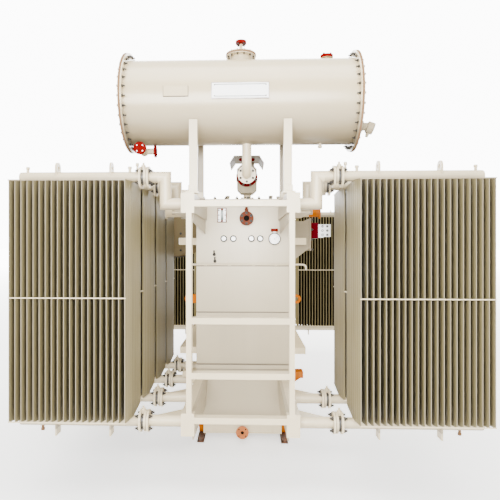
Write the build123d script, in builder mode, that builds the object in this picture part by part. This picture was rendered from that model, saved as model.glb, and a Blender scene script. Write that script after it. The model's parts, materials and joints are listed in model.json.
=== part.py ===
"""Oil-filled inverter duty transformer: tank, radiators on box headers, conservator and fittings.

Millimetres. +Z is up and the ground is Z = 0. +X is to the right seen from the conservator end,
and +Y runs from that end to the far end. The origin is under the middle of the whole outline.
"""

import os
from math import sqrt

from build123d import *

# Tank
tank_length = 3110.0
tank_width = 900.0
tank_wall = 10.0
tank_floor_level = 210.0
tank_floor_thickness = 16.0
tank_rim_level = 2337.0
rim_width = 55.0
rim_thickness = 16.0
cover_thickness = 16.0
wall_band_levels = (725.0, 1230.0)
wall_band_height = 38.0
wall_band_depth = 16.0
side_beam_level = 870.0
side_beam_depth = 170.0
side_beam_height = 65.0
side_beam_inset = 60.0
corner_pad_level = 1945.0
corner_pad_length = 120.0
corner_pad_inset = 20.0

# Base, rollers and rails
rail_height = 50.0
rail_head_width = 54.0
rail_foot_width = 68.0
rail_foot_thickness = 12.0
rail_web = 20.0
rail_head_thickness = 20.0
rail_overrun = 50.0
roller_radius = 77.0
roller_width = 42.0
roller_inset = 44.0
axle_radius = 22.0
axle_clearance = 0.3
axle_inset = 120.0
axle_cap_radius = 34.0
axle_cap_width = 8.0
base_bottom_level = 75.0
base_beam_width = 75.0
base_beam_inset = 110.0
base_web = 12.0
base_cross_shares = (0.0, 0.34, 0.66, 1.0)

# Radiators
radiator_pitch = 605.0
radiator_centres = 1887.0
bottom_pipe_level = 543.0
first_pipe_reach = 1001.0
left_fin_gap = 89.0
right_fin_gap = 117.0
fin_pitch = 45.0
fin_width = 520.0
fin_thickness = 10.0
bottom_shoulder = 62.0
top_shoulder = 46.0
fin_neck_width = 56.0
fin_bite = 4.0
left_fin_count = 20
right_fin_count = 22
inner_steps = (2, 3)
pipe_radius = 44.45
pipe_flat = 34.0
header_overrun = 30.0
lug_shares = (0.2, 0.69)
lug_thickness = 14.0
lug_width = 90.0
lug_height = 72.0
foot_height = 70.0
tie_thickness = 6.0
tie_height = 8.0
tie_shares = (0.0, 0.513, 1.0)
tie_overrun = 1.0

# Radiator valves and the pipes to the headers
valve_reach = 293.0
flange_radius = 84.0
flange_thickness = 16.0
valve_body_radius = 60.0
valve_body_width = 44.0
pipe_drop = 208.0
drop_leg_reach = 133.0
gusset_length = 225.0
gusset_depth = 175.0
gusset_thickness = 10.0

# Box headers, posts and cross beams
header_reach = 1131.0
header_width = 100.0
header_inset = 54.0
top_header_height = 150.0
bottom_header_height = 170.0
bottom_header_rise = 12.0
web_inset = 85.0
web_thickness = 10.0
header_plate_width = 116.0
header_plate_length = 790.0
header_plate_thickness = 8.0
header_plate_inset = 45.0
header_plate_gap = 2.0
web_tip_depth = 60.0
web_root_depth = 133.0
web_setback = 90.0
post_offset = 386.0
post_width = 40.0
post_depth = 75.0
section_wall = 6.0
beam_height = 46.0
low_beam_level = 588.0
middle_beam_level = 923.0
upper_beam_level = 1335.0
top_beam_level = 2218.0

# Conservator
drum_level = 3048.0
drum_reach = 831.0
drum_radius = 333.0
drum_wall = 6.0
drum_half_length = 905.0
drum_flange_radius = 390.0
drum_flange_thickness = 14.0
leg_inset = 94.0
leg_width = 62.0
leg_depth = 60.0
leg_wall = 8.0
leg_spread = 280.0
leg_top_margin = 16.0
leg_foot_width = 96.0
leg_foot_depth = 84.0
leg_foot_thickness = 12.0
neck_radius = 78.0
neck_flange_radius = 120.0
neck_flange_thickness = 24.0
neck_top_level = 3443.0
vent_radius = 13.5
vent_cap_radius = 43.0
vent_cap_thickness = 22.0
vent_top_level = 3549.0
filler_offset = 687.0
filler_radius = 24.0
filler_cap_radius = 50.0
filler_cap_thickness = 24.0
filler_top_level = 3426.0
drain_offset = 791.0
drain_stub_radius = 24.0
drain_body_radius = 32.0
drain_drop = 50.0
drain_face_reach = 134.0
drain_tail_reach = 40.0
drain_flange_radius = 49.0
drain_flange_thickness = 14.0
drain_branch_reach = 90.0
gauge_drop = 232.0
gauge_forward = 150.0
gauge_seat_radius = 58.0
gauge_seat_thickness = 14.0
gauge_neck_radius = 30.0
gauge_neck_length = 60.0
gauge_head_size = 92.0
gauge_head_thickness = 46.0
name_plate_width = 430.0
name_plate_height = 122.0
name_plate_depth = 14.0
pad_plate_width = 185.0
pad_plate_height = 78.0
pad_plate_offset = 480.0

# Gas relay line from the conservator to the cover
relay_offset = 46.0
relay_level = 2489.0
relay_pipe_radius = 38.0
relay_bend_radius = 90.0
relay_flange_radius = 75.0
relay_flange_thickness = 16.0
relay_valve_length = 112.0
relay_valve_radius = 52.0
relay_valve_near_radius = 76.0
relay_valve_far_radius = 87.0
relay_body_width = 168.0
relay_body_length = 196.0
relay_body_height = 236.0
relay_body_lowering = 20.0
relay_body_chamfer = 34.0
relay_tank_inset = 80.0
relay_pad_radius = 70.0
relay_pad_thickness = 14.0
hood_level = 2650.0
hood_width = 212.0
hood_length = 400.0
hood_sheet = 4.0
hood_flap_out = 38.0
hood_flap_drop = 62.0
hood_post_width = 14.0
hood_post_spread = 60.0

# Fittings on the conservator end of the tank
sight_offset = -198.0
sight_level = 2199.0
sight_width = 84.0
sight_height = 134.0
sight_depth = 30.0
sight_slot_width = 26.0
sight_slot_margin = 20.0
sight_slot_depth = 14.0
filter_offset = 40.0
filter_level = 2165.0
filter_flange_radius = 69.0
filter_bore_radius = 18.0
filter_pipe_radius = 32.0
filter_body_radius = 48.0
filter_stub_length = 26.0
filter_body_length = 50.0
filter_flange_thickness = 16.0
filter_stem_radius = 18.0
filter_stem_height = 92.0
pocket_offsets = (-180.5, -87.8, 86.8, 171.7)
pocket_level = 1971.0
pocket_radius = 29.0
pocket_depth = 34.0
pocket_boss_radius = 18.0
dial_edge_gap = 142.0
dial_level = 1968.0
dial_radius = 57.0
dial_depth = 42.0
dial_stand = 30.0
dial_boss_radius = 30.0
dial_cap_width = 66.0
dial_cap_height = 28.0
dial_cap_gap = 14.0
dial_stem_width = 24.0
conduit_level = 1720.0
conduit_radius = 9.0
conduit_left_reach = 488.0
conduit_right_reach = 612.0
conduit_bend_radius = 30.0
conduit_drop = 52.0
conduit_clip_shares = (0.1, 0.36, 0.62, 0.86)
conduit_clip_width = 26.0
drain_valve_level = 122.0
drain_valve_flange_radius = 61.0
drain_valve_pipe_radius = 26.0
drain_valve_body_radius = 34.0
drain_valve_stub_length = 30.0
drain_valve_body_length = 70.0
drain_valve_flange_thickness = 14.0
drain_valve_bolt_circle = 90.0
drain_valve_bolt_radius = 7.0
drain_valve_bore_radius = 16.0
drain_valve_bolt_count = 4
drain_valve_bolt_turn = 45.0

# High-voltage cable box on the left and low-voltage turret on the right
cable_box_depth = 450.0
cable_box_bottom = 1785.0
cable_box_top = 2266.0
cable_box_gap = 195.0
cable_box_length = 1300.0
cable_box_flat = 122.0
cable_box_rise = 207.0
gland_plate_thickness = 12.0
gland_plate_lip = 20.0
turret_end_gap = 169.0
turret_length = 1500.0
turret_bottom = 1880.0
turret_top = 2150.0
turret_reach = 220.0
turret_flange_lip = 28.0
turret_flange_thickness = 12.0
turret_bracket_depth = 170.0
turret_bracket_thickness = 12.0
bus_pitch = 500.0
bus_first_inset = 150.0
bus_length = 93.0
bus_width = 128.0
bus_thickness = 12.0
sleeve_wall = 16.0
collar_width = 100.0
collar_height = 250.0
collar_thickness = 18.0
palm_length = 129.0
palm_hole_radius = 7.0
palm_columns = 2
palm_rows = 3
palm_column_pitch = 50.0
palm_row_pitch = 44.0
palm_end_margin = 34.0

# Lifting, hauling and jacking pieces on the tank sides
bollard_level = 2225.0
bollard_radius = 38.0
bollard_reach = 300.0
bollard_inset = 90.0
bollard_disc_radius = 56.0
bollard_disc_thickness = 14.0
haul_level = 1382.0
haul_thickness = 24.0
haul_reach = 78.0
haul_radius = 42.0
haul_hole_radius = 20.0
haul_inset = 60.0
jack_level = 667.0
jack_depth = 144.0
jack_length = 130.0
jack_plate = 60.0
jack_gusset_height = 98.0
jack_gusset_thickness = 16.0
jack_inset = 110.0

# One overrun serves every cut
overrun = 5.0

# Where the driving sizes put things
half_width = tank_width / 2
roller_offset = half_width - roller_inset
base_beam_offset = half_width - base_beam_inset
header_offset = half_width - header_inset
web_offset = half_width - web_inset
leg_offset = half_width - leg_inset
drop_leg_offset = half_width + drop_leg_reach
valve_offset = half_width + valve_reach
left_standoff = valve_offset + left_fin_gap
right_standoff = valve_offset + right_fin_gap
left_reach = left_standoff + (left_fin_count - 1) * fin_pitch + fin_thickness + header_overrun
right_reach = right_standoff + (right_fin_count - 1) * fin_pitch + fin_thickness + header_overrun
axis_x = (left_reach - right_reach) / 2
half_length = tank_length / 2
top_pipe_level = bottom_pipe_level + radiator_centres
low_pipe_level = top_pipe_level - pipe_drop
cover_level = tank_rim_level + cover_thickness
near_pipe_y = half_length + first_pipe_reach
pipe_ys = (near_pipe_y, near_pipe_y - radiator_pitch)
inner_ys = tuple(-near_pipe_y + step * radiator_pitch for step in inner_steps)
left_ys = (-pipe_ys[0], -pipe_ys[1], *inner_ys, pipe_ys[1], pipe_ys[0])
right_ys = (-pipe_ys[0], -pipe_ys[1], pipe_ys[1], pipe_ys[0])
header_face = header_offset + header_width / 2
valve_half = valve_body_width / 2 + flange_thickness
drum_y = -half_length - drum_reach
front_wall = Plane.XZ.offset(half_length)
middle_plane = Plane.YZ.offset(axis_x)
axle_level = rail_height + roller_radius
turret_start = -half_length + turret_end_gap
cable_box_start = inner_ys[-1] + fin_width / 2 + cable_box_gap


def side_plane(side, distance):
    """Plane facing +X at a distance left (-1) or right (+1) of the tank's middle plane."""
    return Plane.YZ.offset(axis_x + side * distance)


def write_piece(piece, name):
    """Label a finished piece and write it as one STEP file."""
    piece.label = name
    export_step(piece, f"parts/{name}.step")


os.makedirs("parts", exist_ok=True)


# Rails on the ground
rail_length = tank_length + 2 * rail_overrun
with BuildPart() as rails:
    with BuildSketch(Plane.XZ.offset(-rail_length / 2)):
        with Locations((axis_x + roller_offset, rail_foot_thickness / 2)):
            Rectangle(rail_foot_width, rail_foot_thickness)
        with Locations((axis_x + roller_offset, rail_height / 2)):
            Rectangle(rail_web, rail_height)
        with Locations((axis_x + roller_offset, rail_height - rail_head_thickness / 2)):
            Rectangle(rail_head_width, rail_head_thickness)
    extrude(amount=rail_length)
    mirror(about=middle_plane)
write_piece(rails.part, "rails")

# Plain rollers on the rails, free on their axles
roller_inner = roller_offset - roller_width / 2
axle_ys = (-half_length + axle_inset, half_length - axle_inset)
axle_places = [(y, axle_level) for y in axle_ys]
with BuildPart() as rollers:
    with BuildSketch(side_plane(1, roller_inner)):
        with Locations(*axle_places):
            Circle(roller_radius)
    extrude(amount=roller_width)
    with BuildSketch(side_plane(1, roller_inner)):
        with Locations(*axle_places):
            Circle(axle_radius + axle_clearance)
    extrude(amount=roller_width, mode=Mode.SUBTRACT)
    mirror(about=middle_plane)
write_piece(rollers.part, "rollers")

# Axle stubs out of the base beams, with a keeper disc outside each roller
axle_root = base_beam_offset + base_beam_width / 2
axle_tip = roller_inner + roller_width + axle_clearance
with BuildPart() as axles:
    with BuildSketch(side_plane(1, axle_root)):
        with Locations(*axle_places):
            Circle(axle_radius)
    extrude(amount=axle_tip - axle_root)
    with BuildSketch(side_plane(1, axle_tip)):
        with Locations(*axle_places):
            Circle(axle_cap_radius)
    extrude(amount=axle_cap_width)
    mirror(about=middle_plane)
write_piece(axles.part, "axles")

# Channel beams along the base, their open sides turned inwards
base_depth = tank_floor_level - base_bottom_level
base_level = (tank_floor_level + base_bottom_level) / 2
with BuildPart() as base_beams:
    with BuildSketch(front_wall):
        with Locations((axis_x + base_beam_offset, base_level)):
            Rectangle(base_beam_width, base_depth)
        with Locations((axis_x + base_beam_offset - base_web, base_level)):
            Rectangle(base_beam_width, base_depth - 2 * base_web, mode=Mode.SUBTRACT)
    extrude(amount=-tank_length)
    mirror(about=middle_plane)
write_piece(base_beams.part, "base_beams")

# Cross channels between the base beams, their webs facing the ends of the tank
cross_width = 2 * base_beam_offset - base_beam_width
cross_span = tank_length - base_beam_width
cross_ys = [-cross_span / 2 + share * cross_span for share in base_cross_shares]
with BuildPart() as base_crosses:
    for y in cross_ys:
        outward = -1 if y < 0 else 1
        with BuildSketch(side_plane(-1, cross_width / 2)):
            with Locations((y, base_level)):
                Rectangle(base_beam_width, base_depth)
            with Locations((y - outward * base_web, base_level)):
                Rectangle(base_beam_width, base_depth - 2 * base_web, mode=Mode.SUBTRACT)
        extrude(amount=cross_width)
write_piece(base_crosses.part, "base_cross_beams")

# Tank floor plate
with BuildPart() as tank_floor:
    with BuildSketch(Plane.XY.offset(tank_floor_level)):
        with Locations((axis_x, 0)):
            Rectangle(tank_width, tank_length)
    extrude(amount=tank_floor_thickness)
write_piece(tank_floor.part, "tank_floor")

# Tank walls: an open shell with a rim flange and flat bands across both end walls
wall_bottom = tank_floor_level + tank_floor_thickness
with BuildPart() as tank_shell:
    with BuildSketch(Plane.XY.offset(wall_bottom)):
        with Locations((axis_x, 0)):
            Rectangle(tank_width, tank_length)
    extrude(amount=tank_rim_level - wall_bottom)
    with BuildSketch(Plane.XY.offset(tank_rim_level - rim_thickness)):
        with Locations((axis_x, 0)):
            Rectangle(tank_width + 2 * rim_width, tank_length + 2 * rim_width)
    extrude(amount=rim_thickness)
    for level in wall_band_levels:
        with BuildSketch(Plane.XY.offset(level - wall_band_height / 2)):
            with Locations((axis_x, 0)):
                Rectangle(tank_width, tank_length + 2 * wall_band_depth)
        extrude(amount=wall_band_height)
    with BuildSketch(Plane.XY.offset(wall_bottom)):
        with Locations((axis_x, 0)):
            Rectangle(tank_width - 2 * tank_wall, tank_length - 2 * tank_wall)
    extrude(amount=tank_rim_level - wall_bottom, mode=Mode.SUBTRACT)
write_piece(tank_shell.part, "tank_shell")

# Bolted cover plate
with BuildPart() as tank_cover:
    with BuildSketch(Plane.XY.offset(tank_rim_level)):
        with Locations((axis_x, 0)):
            Rectangle(tank_width + 2 * rim_width, tank_length + 2 * rim_width)
    extrude(amount=cover_thickness)
write_piece(tank_cover.part, "tank_cover")

# Box stiffeners along the tank sides and short pads at the upper corners
beam_span = tank_length - 2 * side_beam_inset
pad_y = (tank_length - corner_pad_length) / 2 - corner_pad_inset
with BuildPart() as side_stiffeners:
    with BuildSketch(side_plane(1, half_width)):
        with Locations((0, side_beam_level)):
            Rectangle(beam_span, side_beam_height)
        with Locations((-pad_y, corner_pad_level), (pad_y, corner_pad_level)):
            Rectangle(corner_pad_length, side_beam_height)
    extrude(amount=side_beam_depth)
    mirror(about=middle_plane)
write_piece(side_stiffeners.part, "side_stiffeners")


def box_headers(level, height, name):
    """Box headers out of both end walls, each with a tapered web under it near the tank."""
    with BuildPart() as headers:
        with BuildSketch(front_wall):
            with Locations((axis_x + header_offset, level)):
                Rectangle(header_width, height)
        extrude(amount=header_reach)
        under = level - height / 2
        web_tip = -half_length - header_reach + web_setback
        with BuildSketch(side_plane(1, web_offset - web_thickness / 2)):
            with BuildLine():
                Polyline(
                    (-half_length, under),
                    (web_tip, under),
                    (web_tip, under - web_tip_depth),
                    (-half_length, under - web_root_depth),
                    close=True,
                )
            make_face()
        extrude(amount=web_thickness)
        mirror(about=middle_plane)
        mirror(about=Plane.XZ)
    write_piece(headers.part, name)


top_header_level = low_pipe_level
bottom_header_level = bottom_pipe_level + bottom_header_rise
box_headers(top_header_level, top_header_height, "top_headers")
box_headers(bottom_header_level, bottom_header_height, "bottom_headers")

# Flat plates along the outer faces of the top headers, just under the pipes
plate_top = low_pipe_level - pipe_radius - header_plate_gap
plate_x = axis_x + header_face + header_plate_width / 2
plate_y = half_length + header_plate_inset + header_plate_length / 2
with BuildPart() as header_plates:
    with BuildSketch(Plane.XY.offset(plate_top - header_plate_thickness)):
        with Locations((plate_x, -plate_y)):
            Rectangle(header_plate_width, header_plate_length)
    extrude(amount=header_plate_thickness)
    mirror(about=middle_plane)
    mirror(about=Plane.XZ)
write_piece(header_plates.part, "header_plates")

# Channel posts between the bottom and top headers at both ends
frame_face = half_length + header_reach
post_bottom = bottom_header_level + bottom_header_height / 2
post_top = top_header_level - top_header_height / 2
post_y = -frame_face + post_depth / 2
with BuildPart() as frame_posts:
    with BuildSketch(Plane.XY.offset(post_bottom)):
        with Locations((axis_x + post_offset, post_y)):
            Rectangle(post_width, post_depth)
        with Locations((axis_x + post_offset - section_wall, post_y)):
            Rectangle(post_width, post_depth - 2 * section_wall, mode=Mode.SUBTRACT)
    extrude(amount=post_top - post_bottom)
    mirror(about=middle_plane)
    mirror(about=Plane.XZ)
write_piece(frame_posts.part, "frame_posts")

# Channel beams across each frame: three between the posts or bottom headers, one at the top
post_gap = 2 * post_offset - post_width
header_gap = 2 * header_offset - header_width
beam_spans = (
    (low_beam_level, header_gap),
    (middle_beam_level, post_gap),
    (upper_beam_level, post_gap),
    (top_beam_level, header_gap),
)
with BuildPart() as frame_beams:
    for level, span in beam_spans:
        with BuildSketch(side_plane(-1, span / 2)):
            with Locations((post_y, level)):
                Rectangle(post_depth, beam_height)
            with Locations((post_y, level - section_wall)):
                Rectangle(post_depth - 2 * section_wall, beam_height, mode=Mode.SUBTRACT)
        extrude(amount=span)
    mirror(about=Plane.XZ)
write_piece(frame_beams.part, "frame_beams")


def fin_outline():
    """One fin seen from the side, about its own middle: straight edges, ends drawn in to the pipes."""
    half = fin_width / 2
    neck = fin_neck_width / 2
    seat = pipe_flat - fin_bite
    corners = [
        (-half, bottom_pipe_level + bottom_shoulder),
        (-half, top_pipe_level - top_shoulder),
        (-neck, top_pipe_level - seat),
        (neck, top_pipe_level - seat),
        (half, top_pipe_level - top_shoulder),
        (half, bottom_pipe_level + bottom_shoulder),
        (neck, bottom_pipe_level + seat),
        (-neck, bottom_pipe_level + seat),
    ]
    Polyline(*corners, close=True)


def radiator_block(side, standoff, fin_count):
    """Pressed-steel fins welded between a top and a bottom header pipe, with lugs and feet."""
    bank = (fin_count - 1) * fin_pitch + fin_thickness
    fin_xs = [standoff + step * fin_pitch for step in range(fin_count)]
    pipe_start = valve_offset + valve_half
    pipe_end = standoff + bank + header_overrun
    lug_places = [standoff + share * bank for share in lug_shares]
    with BuildPart() as fin:
        with BuildSketch(Plane.YZ):
            with BuildLine():
                fin_outline()
            make_face()
        extrude(amount=side * fin_thickness)
    with BuildPart() as block:
        with BuildSketch(side_plane(side, pipe_start)):
            with Locations((0, top_pipe_level), (0, bottom_pipe_level)):
                Circle(pipe_radius)
        extrude(amount=side * (pipe_end - pipe_start))
        flat_depth = pipe_radius - pipe_flat
        with BuildSketch(side_plane(side, standoff - header_overrun)):
            with Locations((0, top_pipe_level - pipe_flat - flat_depth / 2)):
                Rectangle(2 * pipe_radius, flat_depth)
            with Locations((0, bottom_pipe_level + pipe_flat + flat_depth / 2)):
                Rectangle(2 * pipe_radius, flat_depth)
        extrude(amount=side * (bank + 2 * header_overrun + overrun), mode=Mode.SUBTRACT)
        for place in lug_places:
            with BuildSketch(side_plane(side, place - lug_thickness / 2)):
                with Locations((0, top_pipe_level + lug_height / 2)):
                    Rectangle(lug_width, lug_height)
                with Locations((0, top_pipe_level + lug_height)):
                    Circle(lug_width / 2)
                with Locations((0, bottom_pipe_level - (pipe_radius + foot_height) / 2)):
                    Rectangle(lug_width, pipe_radius + foot_height)
            extrude(amount=side * lug_thickness)
        with Locations(*[(axis_x + side * x, 0, 0) for x in fin_xs]):
            add(fin.part)
    return block.part


def place_radiators(side, standoff, fin_count, ys, name):
    """Write one copy of a bank's radiator at each of its places along the tank."""
    block = radiator_block(side, standoff, fin_count)
    for number, y in enumerate(ys, start=1):
        with BuildPart() as placed:
            with Locations((0, y, 0)):
                add(block)
        write_piece(placed.part, f"{name}_{number}")


place_radiators(-1, left_standoff, left_fin_count, left_ys, "radiator_left")
place_radiators(1, right_standoff, right_fin_count, right_ys, "radiator_right")

# Flat tie bars across the front and back edges of the fins
fin_bottom = bottom_pipe_level + bottom_shoulder
fin_top = top_pipe_level - top_shoulder
tie_run = fin_top - fin_bottom - tie_height
tie_levels = [fin_bottom + tie_height / 2 + share * tie_run for share in tie_shares]
with BuildPart() as tie_bars:
    for side, standoff, count, ys in (
        (-1, left_standoff, left_fin_count, left_ys),
        (1, right_standoff, right_fin_count, right_ys),
    ):
        bank = (count - 1) * fin_pitch + fin_thickness
        tie_ys = [y + face * (fin_width + tie_thickness) / 2 for y in ys for face in (-1, 1)]
        with BuildSketch(side_plane(side, standoff - tie_overrun)):
            with Locations(*[(y, level) for y in tie_ys for level in tie_levels]):
                Rectangle(tie_thickness, tie_height)
        extrude(amount=side * (bank + 2 * tie_overrun))
write_piece(tie_bars.part, "radiator_tie_bars")

# Isolating valves between the radiators and the pipes, two to a radiator
with BuildPart() as radiator_valves:
    for side, ys in ((-1, left_ys), (1, right_ys)):
        places = [(y, level) for y in ys for level in (top_pipe_level, bottom_pipe_level)]
        for start, radius, width in (
            (valve_offset - valve_half, flange_radius, flange_thickness),
            (valve_offset - valve_body_width / 2, valve_body_radius, valve_body_width),
            (valve_offset + valve_body_width / 2, flange_radius, flange_thickness),
        ):
            with BuildSketch(side_plane(side, start)):
                with Locations(*places):
                    Circle(radius)
            extrude(amount=side * width)
write_piece(radiator_valves.part, "radiator_valves")


def drop_pipe(side, wall_offset, y):
    """Mitred dog-leg from a top valve down to a header or tank wall, swept as one pipe."""
    start = axis_x + side * (valve_offset - valve_half)
    leg = axis_x + side * drop_leg_offset
    end = axis_x + side * wall_offset
    with BuildLine(Plane.XZ.offset(-y)) as path:
        Polyline(
            (start, top_pipe_level),
            (leg, top_pipe_level),
            (leg, low_pipe_level),
            (end, low_pipe_level),
        )
    with BuildSketch(Plane.YZ.offset(start)) as section:
        with Locations((y, top_pipe_level)):
            Circle(pipe_radius)
    sweep(section.sketch, path=path.wires()[0], transition=Transition.RIGHT)


def pipe_gusset(side, y, level, length):
    """Flat triangular gusset beside a pipe where it meets its header."""
    inward = 1 if y < 0 else -1
    root = axis_x + side * header_face
    with BuildSketch(Plane.XY.offset(level - gusset_thickness / 2)) as triangle:
        with BuildLine():
            Polyline(
                (root, y),
                (root, y + inward * gusset_depth),
                (root + side * length, y),
                close=True,
            )
        make_face()
    extrude(triangle.sketch, amount=gusset_thickness)


gusset_drop = pipe_radius - gusset_thickness
with BuildPart() as top_pipes:
    for side in (-1, 1):
        for y in right_ys:
            drop_pipe(side, header_face, y)
            pipe_gusset(side, y, low_pipe_level - gusset_drop, drop_leg_offset - header_face)
    for y in inner_ys:
        drop_pipe(-1, half_width, y)
write_piece(top_pipes.part, "top_pipes")

# Straight bottom pipes into the bottom headers or the tank side
with BuildPart() as bottom_pipes:
    for side in (-1, 1):
        with BuildSketch(side_plane(side, header_face)):
            with Locations(*[(y, bottom_pipe_level) for y in right_ys]):
                Circle(pipe_radius)
        extrude(amount=side * (valve_offset - valve_half - header_face))
        for y in right_ys:
            pipe_gusset(side, y, bottom_pipe_level + gusset_drop, gusset_length)
    with BuildSketch(side_plane(-1, half_width)):
        with Locations(*[(y, bottom_pipe_level) for y in inner_ys]):
            Circle(pipe_radius)
    extrude(amount=-(valve_offset - valve_half - half_width))
write_piece(bottom_pipes.part, "bottom_pipes")

# Conservator drum: an open tube with a flange ring at each end
shell_half = drum_half_length - drum_flange_thickness
drum_centre = (drum_y, drum_level)
with BuildPart() as drum:
    with BuildSketch(side_plane(-1, shell_half)):
        with Locations(drum_centre):
            Circle(drum_radius)
    extrude(amount=2 * shell_half)
    for start in (-shell_half, shell_half - drum_flange_thickness):
        with BuildSketch(side_plane(1, start)):
            with Locations(drum_centre):
                Circle(drum_flange_radius)
        extrude(amount=drum_flange_thickness)
    with BuildSketch(side_plane(-1, shell_half)):
        with Locations(drum_centre):
            Circle(drum_radius - drum_wall)
    extrude(amount=2 * shell_half, mode=Mode.SUBTRACT)
write_piece(drum.part, "conservator_drum")

# Bolted end covers
for side, name in ((-1, "left_end_cover"), (1, "right_end_cover")):
    with BuildPart() as end_cover:
        with BuildSketch(side_plane(side, shell_half)):
            with Locations(drum_centre):
                Circle(drum_flange_radius)
        extrude(amount=side * drum_flange_thickness)
    write_piece(end_cover.part, name)


def cut_drum():
    """Take the drum's round out of the piece being made, so that it seats on the shell."""
    with BuildSketch(side_plane(-1, drum_half_length)) as round_face:
        with Locations(drum_centre):
            Circle(drum_radius)
    extrude(round_face.sketch, amount=2 * drum_half_length, mode=Mode.SUBTRACT)


# Channel legs from the top headers up to the drum, coped to its round
header_top = top_header_level + top_header_height / 2
leg_rise = sqrt(drum_radius**2 - leg_spread**2) + leg_top_margin
leg_top = drum_level - leg_rise
leg_y = drum_y - leg_spread + leg_depth / 2
with BuildPart() as legs:
    with BuildSketch(Plane.XY.offset(header_top)):
        with Locations((axis_x + leg_offset, leg_y)):
            Rectangle(leg_width, leg_depth)
        with Locations((axis_x + leg_offset, leg_y + leg_wall)):
            Rectangle(leg_width - 2 * leg_wall, leg_depth, mode=Mode.SUBTRACT)
    extrude(amount=leg_top - header_top)
    with BuildSketch(Plane.XY.offset(header_top)):
        with Locations((axis_x + leg_offset + leg_wall, leg_y)):
            Rectangle(leg_foot_width, leg_foot_depth)
    extrude(amount=leg_foot_thickness)
    mirror(about=middle_plane)
    mirror(about=Plane.XZ.offset(-drum_y))
    cut_drum()
write_piece(legs.part, "conservator_legs")

# Inspection neck on top of the drum, with a bolted cover
with BuildPart() as neck:
    with BuildSketch(Plane.XY.offset(drum_level)):
        with Locations((axis_x, drum_y)):
            Circle(neck_radius)
    extrude(amount=neck_top_level - neck_flange_thickness - drum_level)
    with BuildSketch(Plane.XY.offset(neck_top_level - neck_flange_thickness)):
        with Locations((axis_x, drum_y)):
            Circle(neck_flange_radius)
    extrude(amount=neck_flange_thickness)
    cut_drum()
write_piece(neck.part, "inspection_neck")

# Vent pipe and its capped flange above the neck
with BuildPart() as vent:
    with BuildSketch(Plane.XY.offset(neck_top_level)):
        with Locations((axis_x, drum_y)):
            Circle(vent_radius)
    extrude(amount=vent_top_level - vent_cap_thickness - neck_top_level)
    with BuildSketch(Plane.XY.offset(vent_top_level - vent_cap_thickness)):
        with Locations((axis_x, drum_y)):
            Circle(vent_cap_radius)
    extrude(amount=vent_cap_thickness)
write_piece(vent.part, "vent_pipe")

# Filler nozzle with a capped flange
with BuildPart() as filler:
    with BuildSketch(Plane.XY.offset(drum_level)):
        with Locations((axis_x + filler_offset, drum_y)):
            Circle(filler_radius)
    extrude(amount=filler_top_level - filler_cap_thickness - drum_level)
    with BuildSketch(Plane.XY.offset(filler_top_level - filler_cap_thickness)):
        with Locations((axis_x + filler_offset, drum_y)):
            Circle(filler_cap_radius)
    extrude(amount=filler_cap_thickness)
    cut_drum()
write_piece(filler.part, "filler_nozzle")

# Drain tee under the left end of the drum, with blank flanges to the front and to the right
drain_x = axis_x - drain_offset
drain_level = drum_level - drum_radius - drain_drop
drain_face = -drum_y + drain_face_reach
with BuildPart() as drum_drain:
    with BuildSketch(Plane.XY.offset(drain_level)):
        with Locations((drain_x, drum_y)):
            Circle(drain_stub_radius)
    extrude(amount=drum_level - drain_level)
    cut_drum()
    with BuildSketch(Plane.XZ.offset(-drum_y - drain_tail_reach)):
        with Locations((drain_x, drain_level)):
            Circle(drain_body_radius)
    extrude(amount=drain_face_reach + drain_tail_reach)
    with BuildSketch(Plane.XZ.offset(drain_face)):
        with Locations((drain_x, drain_level)):
            Circle(drain_flange_radius)
    extrude(amount=drain_flange_thickness)
    with BuildSketch(Plane.YZ.offset(drain_x)):
        with Locations((drum_y, drain_level)):
            Circle(drain_stub_radius)
    extrude(amount=drain_branch_reach)
    with BuildSketch(Plane.YZ.offset(drain_x + drain_branch_reach)):
        with Locations((drum_y, drain_level)):
            Circle(drain_flange_radius)
    extrude(amount=drain_flange_thickness)
write_piece(drum_drain.part, "drum_drain_tee")

# Oil level gauge on the right end cover
gauge_y = drum_y - gauge_forward
gauge_z = drum_level - gauge_drop
gauge_tip = drum_half_length + gauge_seat_thickness + gauge_neck_length
with BuildPart() as oil_gauge:
    with BuildSketch(side_plane(1, drum_half_length)):
        with Locations((gauge_y, gauge_z)):
            Circle(gauge_seat_radius)
    extrude(amount=gauge_seat_thickness)
    with BuildSketch(side_plane(1, drum_half_length)):
        with Locations((gauge_y, gauge_z)):
            Circle(gauge_neck_radius)
    extrude(amount=gauge_seat_thickness + gauge_neck_length)
    with BuildSketch(side_plane(1, gauge_tip)):
        with Locations((gauge_y, gauge_z)):
            Circle(gauge_head_size / 2)
    extrude(amount=gauge_head_thickness)
write_piece(oil_gauge.part, "oil_level_gauge")


def drum_plate(offset, width, height, name):
    """Flat plate on the front of the drum, its back coped to the drum's round."""
    with BuildPart() as plate:
        with BuildSketch(Plane.XZ.offset(-drum_y + drum_radius - name_plate_depth)):
            with Locations((axis_x + offset, drum_level)):
                Rectangle(width, height)
        extrude(amount=name_plate_depth + section_wall)
        cut_drum()
    write_piece(plate.part, name)


drum_plate(0, name_plate_width, name_plate_height, "name_plate")
drum_plate(-pad_plate_offset, pad_plate_width, pad_plate_height, "pad_plate")

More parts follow.
